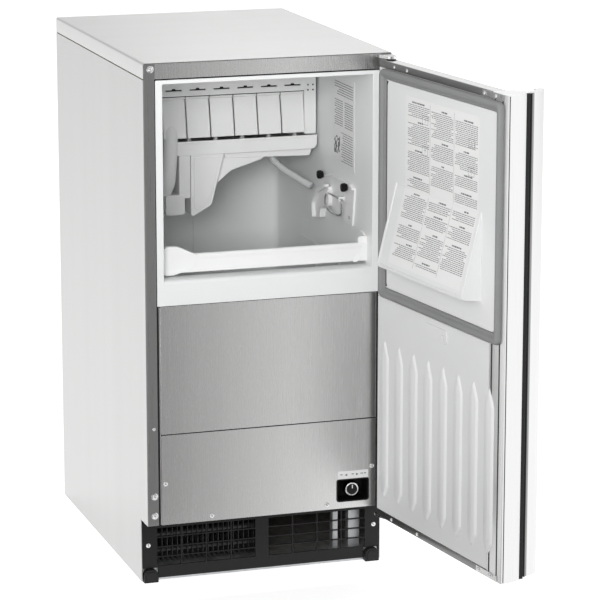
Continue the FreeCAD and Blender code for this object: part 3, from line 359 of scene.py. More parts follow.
CARD = finish("label_card", "card", (0.80, 0.80, 0.795), 0.6, (900, 0.015, 0.05, 0.1, 0.00006, 8, 0.01))
LABEL = finish("label_card", "clear_label", (0.80, 0.805, 0.80), 0.3,
        (900, 0.012, 0.05, 0.05, 0.00006, 8, 0.01))
INK = finish("label_card", "ink", (0.13, 0.13, 0.135), 0.6, (900, 0.1, 0.05, 0.05, 0.00005, 8, 0.05))
# Near black that paints shade where gaps, slots and recesses would be in shadow; the studio's floor
# flag uses it too.
SHADOW = finish("gasket_rubber", "dark_gap", (0.01, 0.01, 0.01), 0.7,
        (600, 0.1, 0.05, 0.1, 0.0001, 8, 0.05))

CARRIED = {
    CASING: ["left_side_panel", "right_side_panel"],
    ZINC: ["rear_panel", "base_frame", "fan_shroud"],
    PAINT: ["compressor", "fan_motor", "condenser_coil"],
    COPPER: ["refrigerant_lines"],
    TINNED: ["evaporator_plate"],
    FOAM: ["bin_insulation", "door_insulation"],
    BLACK: ["condenser_fan", "power_inlet_gland", "hinge_bushings"],
    RUBBER: ["compressor_grommets"],
    CHROME: ["slat_rod"],
    WHITE: ["spray_bar", "pump_impeller", "water_inlet_valve", "drain_pipe"],
}
for (material, _), names in CARRIED.items():
    for name in names:
        carried = frame["nodes"][name].data
        if not carried.materials:
            carried.materials.append(material)
        for number in range(len(carried.materials)):
            carried.materials[number] = material

# ---------- named places
(LEFT, RIGHT), (FACE, REAR), (LID_LOW, LID_TOP) = box_of("top_panel")
(STILE_LEFT, STILE_RIGHT), (FRAME_FACE, FRAME_BACK), (FRAME_LOW, FRAME_TOP) = box_of("front_frame")


def behind(distance):
    """The y of something this far behind the cabinet's front plane."""
    return FACE + distance


# ---------- cabinet casing
def lid():
    skin = 1.2
    bm = bmesh.new()
    outer = soft([(LEFT, LID_LOW), (LEFT, LID_TOP, 3), (RIGHT, LID_TOP, 3), (RIGHT, LID_LOW)], 6)
    inner = soft([(RIGHT - skin, LID_LOW), (RIGHT - skin, LID_TOP - skin, 2),
            (LEFT + skin, LID_TOP - skin, 2), (LEFT + skin, LID_LOW)], 6)
    add_sheet(bm, [outer + inner], "xz", FACE, REAR)
    add_box(bm, (LEFT + skin, RIGHT - skin), (REAR - skin, REAR), (LID_LOW, LID_TOP - skin))
    piece("lid", bm, LID, ["top_panel"], edge=0.5)
    bm = bmesh.new()
    for x in (LEFT + 24, RIGHT - 24):
        add_screw(bm, (x, REAR, LID_LOW + 11), (0, 1, 0), 3.2)
    piece("lid_screws", bm, CHROME)


def front_frame():
    bm = bmesh.new()
    stile = 15.5
    rail = LID_TOP - 24
    outline = soft([(STILE_LEFT, FRAME_LOW), (STILE_LEFT + stile, FRAME_LOW),
            (STILE_LEFT + stile, rail, 1.5), (STILE_RIGHT - stile, rail, 1.5),
            (STILE_RIGHT - stile, FRAME_LOW), (STILE_RIGHT, FRAME_LOW), (STILE_RIGHT, FRAME_TOP, 2),
            (STILE_LEFT, FRAME_TOP, 2)], 3)
    add_sheet(bm, [outline], "xz", FRAME_FACE, FRAME_BACK)
    piece("edge_frame", bm, STILE, ["front_frame"], edge=0.7)
    bm = bmesh.new()
    rail_low, rail_high = rail + 0.4, FRAME_TOP - 0.4
    add_box(bm, (STILE_LEFT + stile + 1, STILE_RIGHT - stile - 1), (FACE - 0.05, FACE + 0.3),
            (rail_low, rail_high))
    piece("rail_cover", bm, FRONT, edge=0.2)


def control_window(extra, radius=3):
    """The opening for the knob, made larger all round by extra."""
    return rect((106 - extra, 156 + extra), (110 - extra, 144 + extra), radius, 4)


def front_panels():
    (x0, x1), (y0, y1), (z0, z1) = box_of("upper_fascia")
    bm = bmesh.new()
    add_sheet(bm, [rect((x0, x1), (z0 + 0.3, z1), 1.0, 3)], "xz", y0, y1)
    piece("fascia", bm, FRONT, ["upper_fascia"], edge=0.7)
    (x0, x1), (y0, _), (z0, z1) = box_of("lower_front_panel")
    bm = bmesh.new()
    window = control_window(0)
    add_sheet(bm, [rect((x0, x1), (z0, z1 - 0.3), 1.0, 3), window], "xz", y0, y0 + 1.5)
    add_box(bm, (x0, x1), (y0 + 1.5, y0 + 39), (z0, z0 + 1.2))
    piece("service_panel", bm, FRONT, ["lower_front_panel"], edge=0.5)

    # Painted shade: black strips behind the panels' edges, the split, the band's foot and the flange's
    # sides and top, so that these gaps read as shadow.
    bm = bmesh.new()
    deep = behind(2.2), behind(3.2)
    for x in ((x0 - 8, x0 + 2), (x1 - 2, x1 + 8)):
        add_box(bm, x, deep, (z0, LIP_LOW + 1))
    add_box(bm, (x0 + 2, x1 - 2), deep, (233, 240))
    add_box(bm, (x0 - 1, x1 + 1), deep, (LIP_LOW - 4, LIP_LOW + 2))
    deep = behind(3.45), behind(3.75)
    for x in ((-175, -164), (164, 175)):
        add_box(bm, x, deep, (99, CEILING + 10))
    add_box(bm, (-175, 175), deep, (CEILING + 4, CEILING + 10))
    piece("front_gap_painted_shade", bm, SHADOW)
    # Painted shade: black strips along the foot of the lid's skirts, where the gap would be in shadow.
    bm = bmesh.new()
    for side in (-1, 1):
        add_box(bm, sorted((side * 186.6, side * (RIGHT - 0.35))), (FACE + 1, REAR - 1),
                (LID_LOW - 0.7, LID_LOW + 0.3))
    piece("lid_gap", bm, SHADOW)
    bm = bmesh.new()
    add_box(bm, (x0 - 1.6, x0 - 0.5), (behind(0.6), behind(2.1)), (z0 + 1, LIP_LOW - 1.5))
    piece("front_return", bm, TRIM, edge=0.2)

    (x0, x1), (y0, y1), (z0, z1) = box_of("control_box")
    bm = bmesh.new()
    add_sheet(bm, [rect((x0, x1), (z0, z1), 3, 3), control_window(-0.6)], "xz", y0, y1 - 5)
    add_box(bm, (x0, x1), (y1 - 5, y1), (z0, z1))
    piece("control_cup", bm, BLACK, ["control_box"], edge=0.4)
    bm = bmesh.new()
    add_sheet(bm, [control_window(0.8, 4), control_window(-1)], "xz", behind(-0.4), behind(0.5))
    piece("control_bezel", bm, BLACK, edge=0.2)

    (x0, x1), (y0, y1), (z0, z1) = box_of("control_knob")
    across, up = (x0 + x1) / 2, (z0 + z1) / 2
    radius = (x1 - x0) / 2
    bm = bmesh.new()
    rings = []
    for reach, depth in ((0.2, 1.5), (0.62, 1.4), (0.80, 1.0), (0.88, 1.6), (0.9, 6.0), (1.0, 9.0),
            (1.0, 13.0), (0.7, 15.5), (0.26, 15.6), (0.25, y1 - y0 - 1.5)):
        ring = []
        for number in range(48):
            turn = 2 * pi * number / 48
            knurl = 1 - 0.035 * (number % 2) * (1.5 < depth < 14)
            ring.append((across + radius * reach * knurl * cos(turn), y0 + depth,
                    up + radius * reach * knurl * sin(turn)))
        rings.append(ring)
    skin_rings(bm, rings)
    piece("dial", bm, CHROME, ["control_knob"], "knob")
    bm = bmesh.new()
    add_turned(bm, [(0, 0), (radius * 0.6, 0), (radius * 0.66, 0.5), (radius * 0.66, 1.2), (0, 1.2)],
            (across, y0 + 1.4, up), (0, -1, 0), 32)
    piece("dial_face", bm, BLACK, body="knob")
    bm = bmesh.new()
    add_box(bm, (across - 0.7, across + 0.7), (y0 - 0.1, y0 + 0.3), (up + 1.5, up + 7))
    piece("dial_pointer", bm, WHITE, body="knob", edge=0.1)


def screw_sets():
    bm = bmesh.new()
    half = RIGHT - 11
    for x, y, z, washer in ((-161, 0.5, 162, False), (161, 0.5, 162, False), (-90, 0.5, 107, False),
            (90, 0.5, 107, False), (-half, 0, 114.5, True), (-half, 0, 144, True),
            (-half, 0, 247, False), (-half, 0, 779.5, True)):
        radius = 2.6 if z == 247 else 3.6
        add_screw(bm, (x, behind(y), z), (0, -1, 0), radius, washer)
    for x in (-half, half):
        add_screw(bm, (x, behind(40), 57), (0, -1, 0), 3.8)
    piece("cabinet_screw_set", bm, CHROME, ["cabinet_screws"])


def toe_kick():
    (x0, x1), (y0, y1), (z0, z1) = box_of("toe_kick_grille")
    (f0, f1), (fy0, fy1), (fz0, fz1) = box_of("front_feet")
    bm = bmesh.new()
    slots = []
    pitch, rise, wide, tall = 39, 15.25, 36.8, 13.2
    middle_bar, lowest = 19, 23.5
    for start in (-middle_bar / 2 - 4 * pitch, middle_bar / 2):
        for column in range(4):
            for line in range(4):
                a = start + column * pitch + 1.1
                b = lowest + line * rise
                slots.append(rect((a, a + wide), (b, b + tall), 0.8, 2))
    notch = 24
    plate = soft([(x0 + notch, z0), (x1 - notch, z0), (x1 - notch, z0 + 16), (x1, z0 + 16), (x1, z1),
            (x0, z1), (x0, z0 + 16), (x0 + notch, z0 + 16)])
    add_sheet(bm, [plate] + slots, "xz", y0, y1)
    piece("grille", bm, BLACK, ["toe_kick_grille"], edge=0.35, segments=1)
    bm = bmesh.new()
    for low, high in ((120, 128), (145, 163)):
        add_box(bm, (low, high), (behind(62), behind(64)), (19, 92))
        add_box(bm, (low, low + 1.5), (behind(64), behind(76)), (19, 92))
    piece("base_uprights", bm, ZINC, edge=0.3)
    bm = bmesh.new()
    for low, high in ((f0, f0 + 22), (f1 - 22, f1)):
        add_sheet(bm, [rect((low, high), (fz0, fz1), (2, 2, 9, 9), 6)], "xz", fy0, fy1)
        add_sheet(bm, [rect((low + 3, high - 3), (fz0 + 3, fz1 - 3), (1, 1, 6, 6), 6)], "xz", fy0 - 1.2,
                fy0 + 1)
    piece("feet", bm, RUBBER, ["front_feet"], edge=1.2)


# ---------- storage bin
BIN = 160
SILL = 468
CEILING = 757
WELL = 245
BIN_BACK = 207
LIP_LOW = 431


def liner():
    wall = 3
    bm = bmesh.new()
    front = behind(0.6)
    inner = [(front, LIP_LOW + 0.4), (front, SILL, 7), (behind(36), SILL, 5), (behind(36), WELL, 14),
            (BIN_BACK, WELL, 16), (BIN_BACK, CEILING, 9), (behind(3), CEILING, 4),
            (front + 0.4, CEILING + 6)]
    outer = [(behind(2.5), CEILING + 6), (behind(5), CEILING + wall, 4),
            (BIN_BACK + wall, CEILING + wall, 11), (BIN_BACK + wall, WELL - wall, 18),
            (behind(36) - wall, WELL - wall, 16), (behind(36) - wall, SILL - wall, 5),
            (behind(2.6), SILL - wall, 4), (behind(2.6), LIP_LOW + 0.4)]
    add_sheet(bm, [soft(inner + outer, 6)], "yz", -BIN, BIN)
    side = soft([(behind(2.5), SILL - wall), (behind(2.5), CEILING + wall),
            (BIN_BACK + wall, CEILING + wall), (BIN_BACK + wall, WELL - wall),
            (behind(36) - wall, WELL - wall), (behind(36) - wall, SILL - wall)])
    for low, high in ((-BIN - wall, -BIN), (BIN, BIN + wall)):
        add_sheet(bm, [side], "yz", low, high)
    piece("bin_tub", bm, LINER, ["bin_liner"], angle=40)
    bm = bmesh.new()
    reach, low = BIN + 10.5, SILL - 8
    lip = soft([(-reach, low), (-BIN, low), (-BIN, CEILING, 2), (BIN, CEILING, 2), (BIN, low),
            (reach, low), (reach, CEILING + 6, 2), (-reach, CEILING + 6, 2)], 4)
    add_sheet(bm, [lip], "xz", behind(0.5), behind(3.4))
    piece("bin_flange", bm, LINER, edge=0.9)
    bm = bmesh.new()
    band = soft([(behind(0.45), LIP_LOW), (behind(0.45), SILL + 0.1, 7), (behind(12), SILL + 0.1),
            (behind(12), SILL - 2.5), (behind(3.2), SILL - 9), (behind(3.2), LIP_LOW)], 7)
    add_sheet(bm, [band], "yz", -reach, reach)
    piece("bin_front_band", bm, LINER, angle=40)
    bm = bmesh.new()
    for x, way in ((-BIN, 1), (BIN, -1)):
        size = 11
        arc = [(x + way * size * (1 - sin(a)), BIN_BACK - size * (1 - cos(a)))
                for a in (pi / 2 * k / 6 for k in range(7))]
        add_sheet(bm, [[(x, BIN_BACK)] + arc], "xy", WELL + 2, CEILING - 2)
    for y in (behind(150), behind(262)):
        add_box(bm, (BIN - 1.6, BIN), (y, y + 82), (WELL + 30, 452))
    for low in (-126, 18):
        add_box(bm, (low, low + 108), (BIN_BACK - 1.6, BIN_BACK), (WELL + 40, CEILING - 60))
    piece("bin_coves", bm, LINER, edge=0.8)


# ---------- ice making unit
def ice_unit():
    (x0, x1), (y0, _), (_, _) = box_of("evaporator_housing")
    top, low = 722, 696.5
    post_low = 628.5
    back = 195
    post = 19
    pitch = (x1 - x0 - 2 * post - 8) / 7
    bm = bmesh.new()
    slots = []
    for number in range(7):
        high = x1 - post - number * pitch
        a, b, mid = high - pitch * 0.84, high - pitch * 0.16, high - pitch / 2
        slots.append(soft([(a, low + 8, 0.6), (mid - 3.4, low + 8), (mid + 3.4, low + 8),
                (b, low + 8, 0.6), (b, low + 10.2, 0.6), (mid + 3.4, low + 10.2),
                (mid + 2.4, low + 12.2, 0.5), (mid - 2.4, low + 12.2, 0.5), (mid - 3.4, low + 10.2),
                (a, low + 10.2, 0.6)], 2))
    add_sheet(bm, [rect((x0, x1), (low, top), 2.5, 4)] + slots, "xz", y0, y0 + 3)
    add_box(bm, (x0, x1), (y0 + 3, y0 + 14), (low + 16, top))
    add_box(bm, (x0, x1), (y0 + 10, y0 + 14), (low, low + 16))
    add_box(bm, (x0, x1), (y0 + 3, back), (top - 3, top))
    add_sheet(bm, [rect((x1 - post, x1), (post_low, low + 2), 2, 4)], "xz", y0, y0 + 14)
    add_sheet(bm, [rect((x0, x0 + post + 7), (post_low, low + 2), 2, 4)], "xz", y0, y0 + 14)
    for a, b in ((x0, x0 + 3), (x1 - 3, x1)):
        add_box(bm, (a, b), (y0 + 14, back), (post_low, top - 3))
    for a, b in ((-120, -100), (100, 120)):
        add_box(bm, (a, b), (behind(285), back - 20), (top, CEILING))
    piece("unit_housing", bm, WHITE, ["evaporator_housing"], edge=0.8)
    bm = bmesh.new()
    for number in range(7):
        middle = x1 - post - (number + 0.5) * pitch
        add_box(bm, (middle - pitch * 0.36, middle + pitch * 0.36), (y0 + 3.1, y0 + 9.9),
                (low + 7, low + 14))
    add_box(bm, (x0 + 6, x1 - 6), (y0 + 2.0, y0 + 9.9), (low - 1.5, low - 0.3))
    for x in (x1 - 13, x1 - 5):
        for z in (low + 0.5, low + 8.5):
            add_turned(bm, [(0, 0), (1.3, 0), (1.3, 0.4), (0, 0.5)], (x, y0 + 0.1, z), (0, -1, 0), 12)
    piece("unit_shadow_marks", bm, SHADOW)

    for number in range(1, 8):
        name = f"curtain_slat_{number}"
        (a, b), _, (z0, _) = box_of(name)
        pivot = (y0 + 5, low - 3)
        length = pivot[1] - z0
        lean = 12.2
        blade = []
        for step in range(9):
            share = step / 8
            blade.append((pivot[0] + 1.2 - lean * share - 1.1 * sin(pi * share),
                    pivot[1] + 1.5 - (length + 1.5) * share))
        back_line = [(y + 2.0, z + 0.2) for y, z in blade[::-1]]
        bm = bmesh.new()
        add_sheet(bm, [blade + back_line], "yz", a + 0.4, b - 0.4)
        add_turned(bm, [(0, 0), (2.9, 0), (2.9, b - a - 0.8), (0, b - a - 0.8)], (a + 0.4, *pivot),
                (1, 0, 0), 16)
        for x in (a + 0.9, b - 2.1):
            line = [(y - 0.7, z) for y, z in blade[1:]]
            add_sheet(bm, [line + [(y + 1.2, z) for y, z in line[::-1]]], "yz", x, x + 1.2)
        piece(f"flap_{number}", bm, WHITE, [name], f"slat_{number}", edge=0.35)


KEEL = 12


def tray_and_pump():
    (x0, x1), (y0, y1), (z0, z1) = box_of("water_tray")
    z0 += KEEL
    bm = bmesh.new()
    wall = 2
    add_sheet(bm, [rect((x0, x1), (z0, z1), (4, 9, 1.5, 1.5), 6)], "xz", y0, y0 + wall)
    add_box(bm, (x0, x0 + wall), (y0 + wall, y1), (z0, z1))
    add_box(bm, (x1 - wall, x1), (y0 + wall, y1), (z0 + 8, z1))
    add_box(bm, (x0, x1 - 4), (y0 + wall, y1), (z0, z0 + wall))
    add_box(bm, (x0, x1), (y1 - wall, y1), (z0, z1))
    add_box(bm, (x0, x1), (y0 - 1.2, y0 + 2), (z1 - 3.4, z1))
    keel = soft([(8, z0 + 1), (10, z0 - 9, 3), (x1 - 9, z0 - 12, 4), (x1 - 5, z0 + 1)], 4)
    add_sheet(bm, [keel], "xz", y0 + 10, y0 + 34)
    piece("basin", bm, WHITE, ["water_tray"], edge=0.8)

    low = z0 - 97
    (_, _), (p0, p1), (_, _) = box_of("pump_housing")
    bm = bmesh.new()
    duct = soft([(-47, z0), (-47, low, 3), (-14, low + 18, 6), (6, z0, 2)], 4)
    add_sheet(bm, [duct], "xz", p0, p1)
    add_sheet(bm, [soft([(4, z0), (-4, low + 48, 2), (20, low + 68, 8), (69, low + 83, 8), (86, z0)],
            4)], "xz", p0 + 10, p0 + 13)
    add_sheet(bm, [rect((-65, -47.5), (low + 30, z0), 2, 3)], "xz", p0 + 2, p1 - 2)
    add_sheet(bm, [rect((-87, -57), (low + 5, low + 36), 3, 4)], "xz", p0 - 0.5, p0 + 40)
    add_sheet(bm, [soft([(-42, z0 - 4), (-42, low + 8, 4), (-18, low + 23, 5), (0, z0 - 4)], 4)], "xz",
            p0 - 1.4, p0 + 1)
    piece("pump_case", bm, WHITE, ["pump_housing"], edge=1.6)

    bm = bmesh.new()
    hose = smooth_path([(-84, p0 + 12, low + 34), (-83, p0 + 10, low + 46), (-81, p0 + 4, low + 66),
            (-78, p0 + 2, z1 + 2), (-77, p0 + 10, z1 + 22), (-78, p0 + 44, z1 + 20)])
    sizes = [6.0 + 5.4 * min(1, 3.4 * n / (len(hose) - 1)) for n in range(len(hose))]
    add_tube(bm, hose, sizes, 16)
    piece("pump_pipe", bm, WHITE, ["pump_hose"])
    bm = bmesh.new()
    add_turned(bm, [(6.6, 0), (8.2, 0.3), (8.2, 3.4), (6.6, 3.8)], (-83.5, p0 + 11.5, low + 40),
            (0, 0, 1), 20)
    piece("pump_pipe_clamps", bm, CHROME)


def bin_control():
    wall = BIN
    top = box_of("bin_control_bracket")[2][1]

    def outline(*points):
        """A soft outline whose points are given as distances behind the front and below the top."""
        return soft([(behind(deep), top - down, *radius) for deep, down, *radius in points], 6)

    bm = bmesh.new()
    plate = outline((74, 6, 3), (88, 1, 4), (183, 2, 6), (232, 12, 16), (238, 48, 6), (179, 53, 8),
            (112, 63, 6), (110, 66, 2), (84, 66, 3))
    add_sheet(bm, [plate], "yz", wall - 3, wall)
    hood = outline((179, 20, 4), (221, 35, 20), (246, 56, 12), (242, 81, 4), (222, 78, 4),
            (217, 60, 10), (179, 53, 12))
    add_sheet(bm, [hood], "yz", wall - 9, wall)
    rim = outline((179, 17, 3), (224, 32, 22), (250, 56, 12), (245, 81, 2), (240, 80, 2), (243, 57, 11),
            (220, 37, 20), (179, 22, 3))
    add_sheet(bm, [rim], "yz", wall - 15, wall - 8)
    fold = outline((76, 7, 3), (89, 1.5, 4), (183, 2.5, 6), (231, 12.5, 15), (231, 16, 14), (183, 6, 6),
            (90, 5, 4), (79, 10, 2))
    add_sheet(bm, [fold], "yz", wall - 6, wall - 1)
    pivot = top - 30
    for y in (118, 176):
        add_box(bm, (wall - 12, wall - 2), (behind(y + 1), behind(y + 5)), (pivot - 3, pivot + 3))
    piece("switch_bracket", bm, WHITE, ["bin_control_bracket"], edge=1.0)
    bm = bmesh.new()
    radius = 6.5
    for y in (212, 98):
        rings = []
        for reach, depth in ((0.5, 0), (0.86, 0.4), (1.0, 1.4), (1.0, 6.4), (0.8, 7.2), (0.8, 9)):
            ring = []
            for n in range(30):
                turn = pi * n / 15
                knurl = 1 - 0.09 * (n % 2) * (0.3 < depth < 7)
                ring.append((wall - 16 + depth, behind(y) + radius * reach * knurl * cos(turn),
                        top - 8 + radius * reach * knurl * sin(turn)))
            rings.append(ring)
        skin_rings(bm, rings)
    piece("knurled_knobs", bm, BLACK, ["thumb_screws"])
    bm = bmesh.new()
    x = wall - 10
    wire = smooth_path([(x, behind(106), pivot), (x, behind(140), pivot), (x, behind(190), pivot),
            (x, behind(190), pivot - 28), (x, behind(112), pivot - 28), (x, behind(112), pivot - 5)], 2)
    add_tube(bm, wire, 1.5, 10)
    piece("switch_wire", bm, CHROME, ["bin_switch_wire"], "bin_switch")
    bm = bmesh.new()
    for y, z in ((134, pivot + 12), (96, pivot - 24)):
        add_screw(bm, (wall - 3, behind(y), z), (-1, 0, 0), 2.6)
    piece("bracket_screws", bm, CHROME)

    tray_low = box_of("water_tray")[2][0] + KEEL
    x, y = 95, 42
    bm = bmesh.new()
    path = smooth_path([(x, y, tray_low), (x, y, tray_low - 14), (x + 13, y - 10, tray_low - 34),
            (wall - 12, y - 52, top - 34)])
    add_tube(bm, path, 5.3, 16)
    piece("sensor_pipe", bm, CLEAR, ["sensor_tube"])
    bm = bmesh.new()
    funnel = [(5.4, 0), (6.8, 0.3), (8.0, 6), (9.6, 13), (10.2, 15), (10.2, 17.5), (5.4, 17.8)]
    add_turned(bm, funnel, (x, y, tray_low - 18), (0, 0, 1), 24)
    piece("sensor_collar", bm, CLEAR)


def dashes(bm, rng, spot, across, start, end, line, gap, indent=0.0, ragged=0.25):
    """Rows of short plain marks that stand in for print; spot(across, down, lift) gives a point."""
    down = start
    while down + line < end:
        x = across[0] + indent * (rng.random() < 0.15)
        stop = across[1] - (across[1] - across[0]) * ragged * rng.random() * (rng.random() < 0.35)
        while x < stop - 1:
            width = min(rng.uniform(2.2, 7.5), stop - x)
            corners = [spot(a, b, c) for a in (x, x + width) for c in (0.02, 0.07)
                    for b in (down + line, down)]
            add_block(bm, corners)
            x += width + rng.uniform(0.8, 1.4)
        down += line + gap


def labels():
    x0, x1 = BIN - 0.5, BIN - 0.05
    y0, y1 = behind(82), behind(183)
    z0, z1 = CEILING - 163, CEILING - 25
    bm = bmesh.new()
    add_sheet(bm, [rect((y0, y1), (z0, z1), 3, 3)], "yz", x0, x1)
    c0, c1 = 107, 155.5
    add_sheet(bm, [rect((c0, c1), (144.2, 157), 1, 2)], "xz", behind(0.1), behind(0.5))
    piece("label_cards", bm, LABEL, ["cabinet_labels"])
    rng = random.Random(SEED)

    def on_wall(across, down, lift):
        return (x0 - lift, y0 + across, z1 - down)

    bm = bmesh.new()
    width = y1 - y0
    dashes(bm, rng, on_wall, (8, width - 8), 8, 30, 1.3, 2.4)
    dashes(bm, rng, on_wall, (8, 46), 36, 78, 1.2, 2.2)
    dashes(bm, rng, on_wall, (54, width - 8), 36, 78, 1.2, 2.2)
    dashes(bm, rng, on_wall, (8, width - 40), 84, 130, 1.2, 2.4)
    for row in range(9):
        for column in range(9):
            if rng.random() < 0.52:
                a, b = width - 34 + column * 3, 92 + row * 3
                add_block(bm, [on_wall(p, q, r) for p in (a, a + 3) for r in (0.02, 0.07)
                        for q in (b + 3, b)])

    def on_panel(across, down, lift):
        return (c0 + across, behind(0.1) - lift, 157 - down)

    for a, b in ((4, 9), (22, 26), (36, 45)):
        dashes(bm, rng, on_panel, (a, b), 4.6, 7.2, 1.3, 1.2)
    for a, way in ((13, -1), (31, 1)):
        tip = [(a - 2 * way, 4), (a - 2 * way, 8), (a + 2 * way, 6)]
        verts = [[bm.verts.new(on_panel(p, q, r)) for p, q in tip] for r in (0.02, 0.07)]
        bm.faces.new(verts[0])
        bm.faces.new(verts[1][::-1])
        for n in range(3):
            bm.faces.new((verts[0][n], verts[0][(n + 1) % 3], verts[1][(n + 1) % 3], verts[1][n]))
    piece("label_marks", bm, INK)


def gate():
    (x0, x1), (y0, y1), (z0, z1) = box_of("bin_gate")
    bar_top = z0 + 27.4
    thick = 6
    bm = bmesh.new()
    section = soft([(y0, z0 + 3, 2), (y0 - 0.2, bar_top - 5, 3), (y0 - 1, bar_top, 3),
            (y0 + 1, bar_top + 3.6, 3.4), (y0 + thick, bar_top + 3.6, 3.4),
            (y0 + thick + 1, bar_top - 1, 3), (y0 + thick - 0.5, z0 + 3, 2)], 4)
    add_sheet(bm, [section], "yz", x0 + 26, x1 - 4)
    left = soft([(x0 + 8, z0 + 0.4, 5), (x0 + 8, z1, 8), (x0 + 30, z1 - 1, 14),
            (x0 + 56, bar_top + 3.4, 26), (x0 + 62, bar_top + 2, 4), (x0 + 54, bar_top - 18, 18),
            (x0 + 24, z0 + 0.4, 9)], 6)
    add_sheet(bm, [left], "xz", y0 - 0.9, y0 + 7)
    side = soft([(y0, z0 + 1, 4), (y0, bar_top + 8, 6), (y0 + 12, z1, 8), (y0 + 26, z1, 12),
            (y1 - 4, 500, 6), (y1, 497, 5), (y1, 488, 6), (y0 + 22, z0 + 1, 8)], 5)
    for low, high in ((x0, x0 + 4.5), (x1 - 4.5, x1)):
        add_sheet(bm, [side], "yz", low, high)
    add_sheet(bm, [soft([(x1 - 16, bar_top - 2, 2), (x1, bar_top - 2), (x1, bar_top + 13, 3),
            (x1 - 16, bar_top + 13, 4)], 4)], "xz", y0 + 1, y0 + 4)
    rib = soft([(x1 - 26, z0 + 2, 3), (x1 - 18, z0 + 2, 3), (x1, bar_top - 6, 2), (x1, bar_top + 3, 2),
            (x1 - 8, bar_top + 1, 3)], 4)
    add_sheet(bm, [rib], "xz", y0 - 0.9, y0 + 4)
    for x, y in ((x0 + 2, 1), (x1 - 2, -1)):
        add_turned(bm, [(0, 0), (3.4, 0), (3.4, 6), (0, 6)], (x, behind(66), 494), (-y, 0, 0), 20)
    piece("bin_gate_bar", bm, WHITE, ["bin_gate"], "gate", edge=1.1)


def hinges():
    bm = bmesh.new()
    (x0, x1), (y0, _), (z0, z1) = box_of("hinge_brackets")
    pin = HINGE[0] / MM, HINGE[1] / MM
    plan = soft([(x0, FACE, 1), (x1, FACE, 1), (x1, y0, 8), (x1 - 13, y0, 8), (x0, FACE - 12, 6)], 6)
    for low, high, foot, profile in ((z1 - 4, z1, z1 - 0.4, [(4, -14), (4, -0.2), (4, 0)]),
            (z0, z0 + 4, z0 + 0.4, [(4, 0), (4, 14)])):
        add_sheet(bm, [plan], "xy", low, high)
        add_turned(bm, profile, (*pin, foot), (0, 0, 1), 24)
    for low, high in ((z1 - 15, z1), (z0, 121)):
        add_box(bm, (x1 - 14, x1), (FACE - 3, FACE), (low, high))
    piece("hinge_set", bm, CHROME, ["hinge_brackets"], edge=0.7)
    bm = bmesh.new()
    for z in (z1 - 11, 104, 114):
        add_screw(bm, (x1 - 7, FACE - 3, z), (0, -1, 0), 3)
    piece("hinge_screws", bm, CHROME)


# ---------- door, drawn closed about its hinge axis
JOINTS = frame["record"]["behaviour"]["joints"]
HINGE = next(joint["pos_m"] for joint in JOINTS if joint["name"] == "door_hinge")
OPEN = radians(98)
DOOR = Matrix.Translation((HINGE[0] / MM, HINGE[1] / MM, 0)) @ Matrix.Rotation(OPEN, 4, "Z")
EDGE = 8.15
FREE = EDGE - 376
MIDDLE = EDGE - 188
SKIN = FREE + 41
INNER = 15.17
OUTER = INNER - 24
DOOR_LOW, DOOR_TOP = 89.6, 781.7
SEAL_LOW, SEAL_TOP = 431, DOOR_TOP - 11.2


def door_body():
    bm = bmesh.new()
    add_box(bm, (SKIN, EDGE), (OUTER, INNER - 1.9), (DOOR_LOW + 1, DOOR_TOP - 1))
    piece("door_skin", bm, CASING, ["door_outer_skin"], "door", edge=1.6)
    bm = bmesh.new()
    depth = [(0, 0, 0.8), (0, 6), (1.5, 20), (4, 28), (6.4, 33.2, 0.6), (11, 34, 1), (11, 40), (12, 41),
            (14, 46), (17, 54, 12), (22, 65, 14), (28, 73, 12), (36, 78, 6), (40, 77, 2), (41, 74, 2),
            (41, 64, 2), (30, 61, 4), (25, 53, 6), (25, 44, 6), (30, 36, 6), (41, 32, 2), (41, 0, 0.5)]
    profile = soft([(FREE + across, INNER - deep, *radius) for across, deep, *radius in depth], 4)
    add_sheet(bm, [profile], "xy", DOOR_LOW + 0.5, DOOR_TOP - 0.5)
    piece("handle_grip", bm, TRIM, ["door_handle"], "door", edge=0.5, angle=60)
    bm = bmesh.new()
    add_box(bm, (FREE + 7.3, FREE + 11), (INNER - 39.9, INNER - 34.1), (DOOR_LOW + 1, DOOR_TOP - 1))
    piece("grip_insert", bm, BLACK, ["handle_insert"], "door", edge=0.5)
    # Painted shade: black lines along the handle's seams and edges and beside the grip's groove.
    bm = bmesh.new()
    for x in (FREE + 11.4, FREE + 33.0):
        add_box(bm, (x, x + 3), (INNER - 0.5, INNER + 0.25), (DOOR_LOW + 2, DOOR_TOP - 2))
    add_box(bm, (FREE - 0.12, FREE + 0.2), (INNER - 4.4, INNER - 3.0), (DOOR_LOW + 2, DOOR_TOP - 2))
    add_box(bm, (FREE + 11.2, FREE + 14), (INNER - 45.0, INNER - 43.6), (DOOR_LOW + 2, DOOR_TOP - 2))
    piece("handle_seam_painted_shade", bm, SHADOW, body="door")
    # Painted shade: a band of the darker frame steel laid on the grip where its curve turns from the
    # light.
    bm = bmesh.new()
    strip = [(FREE + across, INNER - deep) for across, deep in ((13.4, 46), (15.0, 50), (15.8, 50),
            (14.6, 46))]
    add_sheet(bm, [strip], "xy", DOOR_LOW + 2, DOOR_TOP - 2)
    piece("grip_painted_shade", bm, FRAME, body="door")


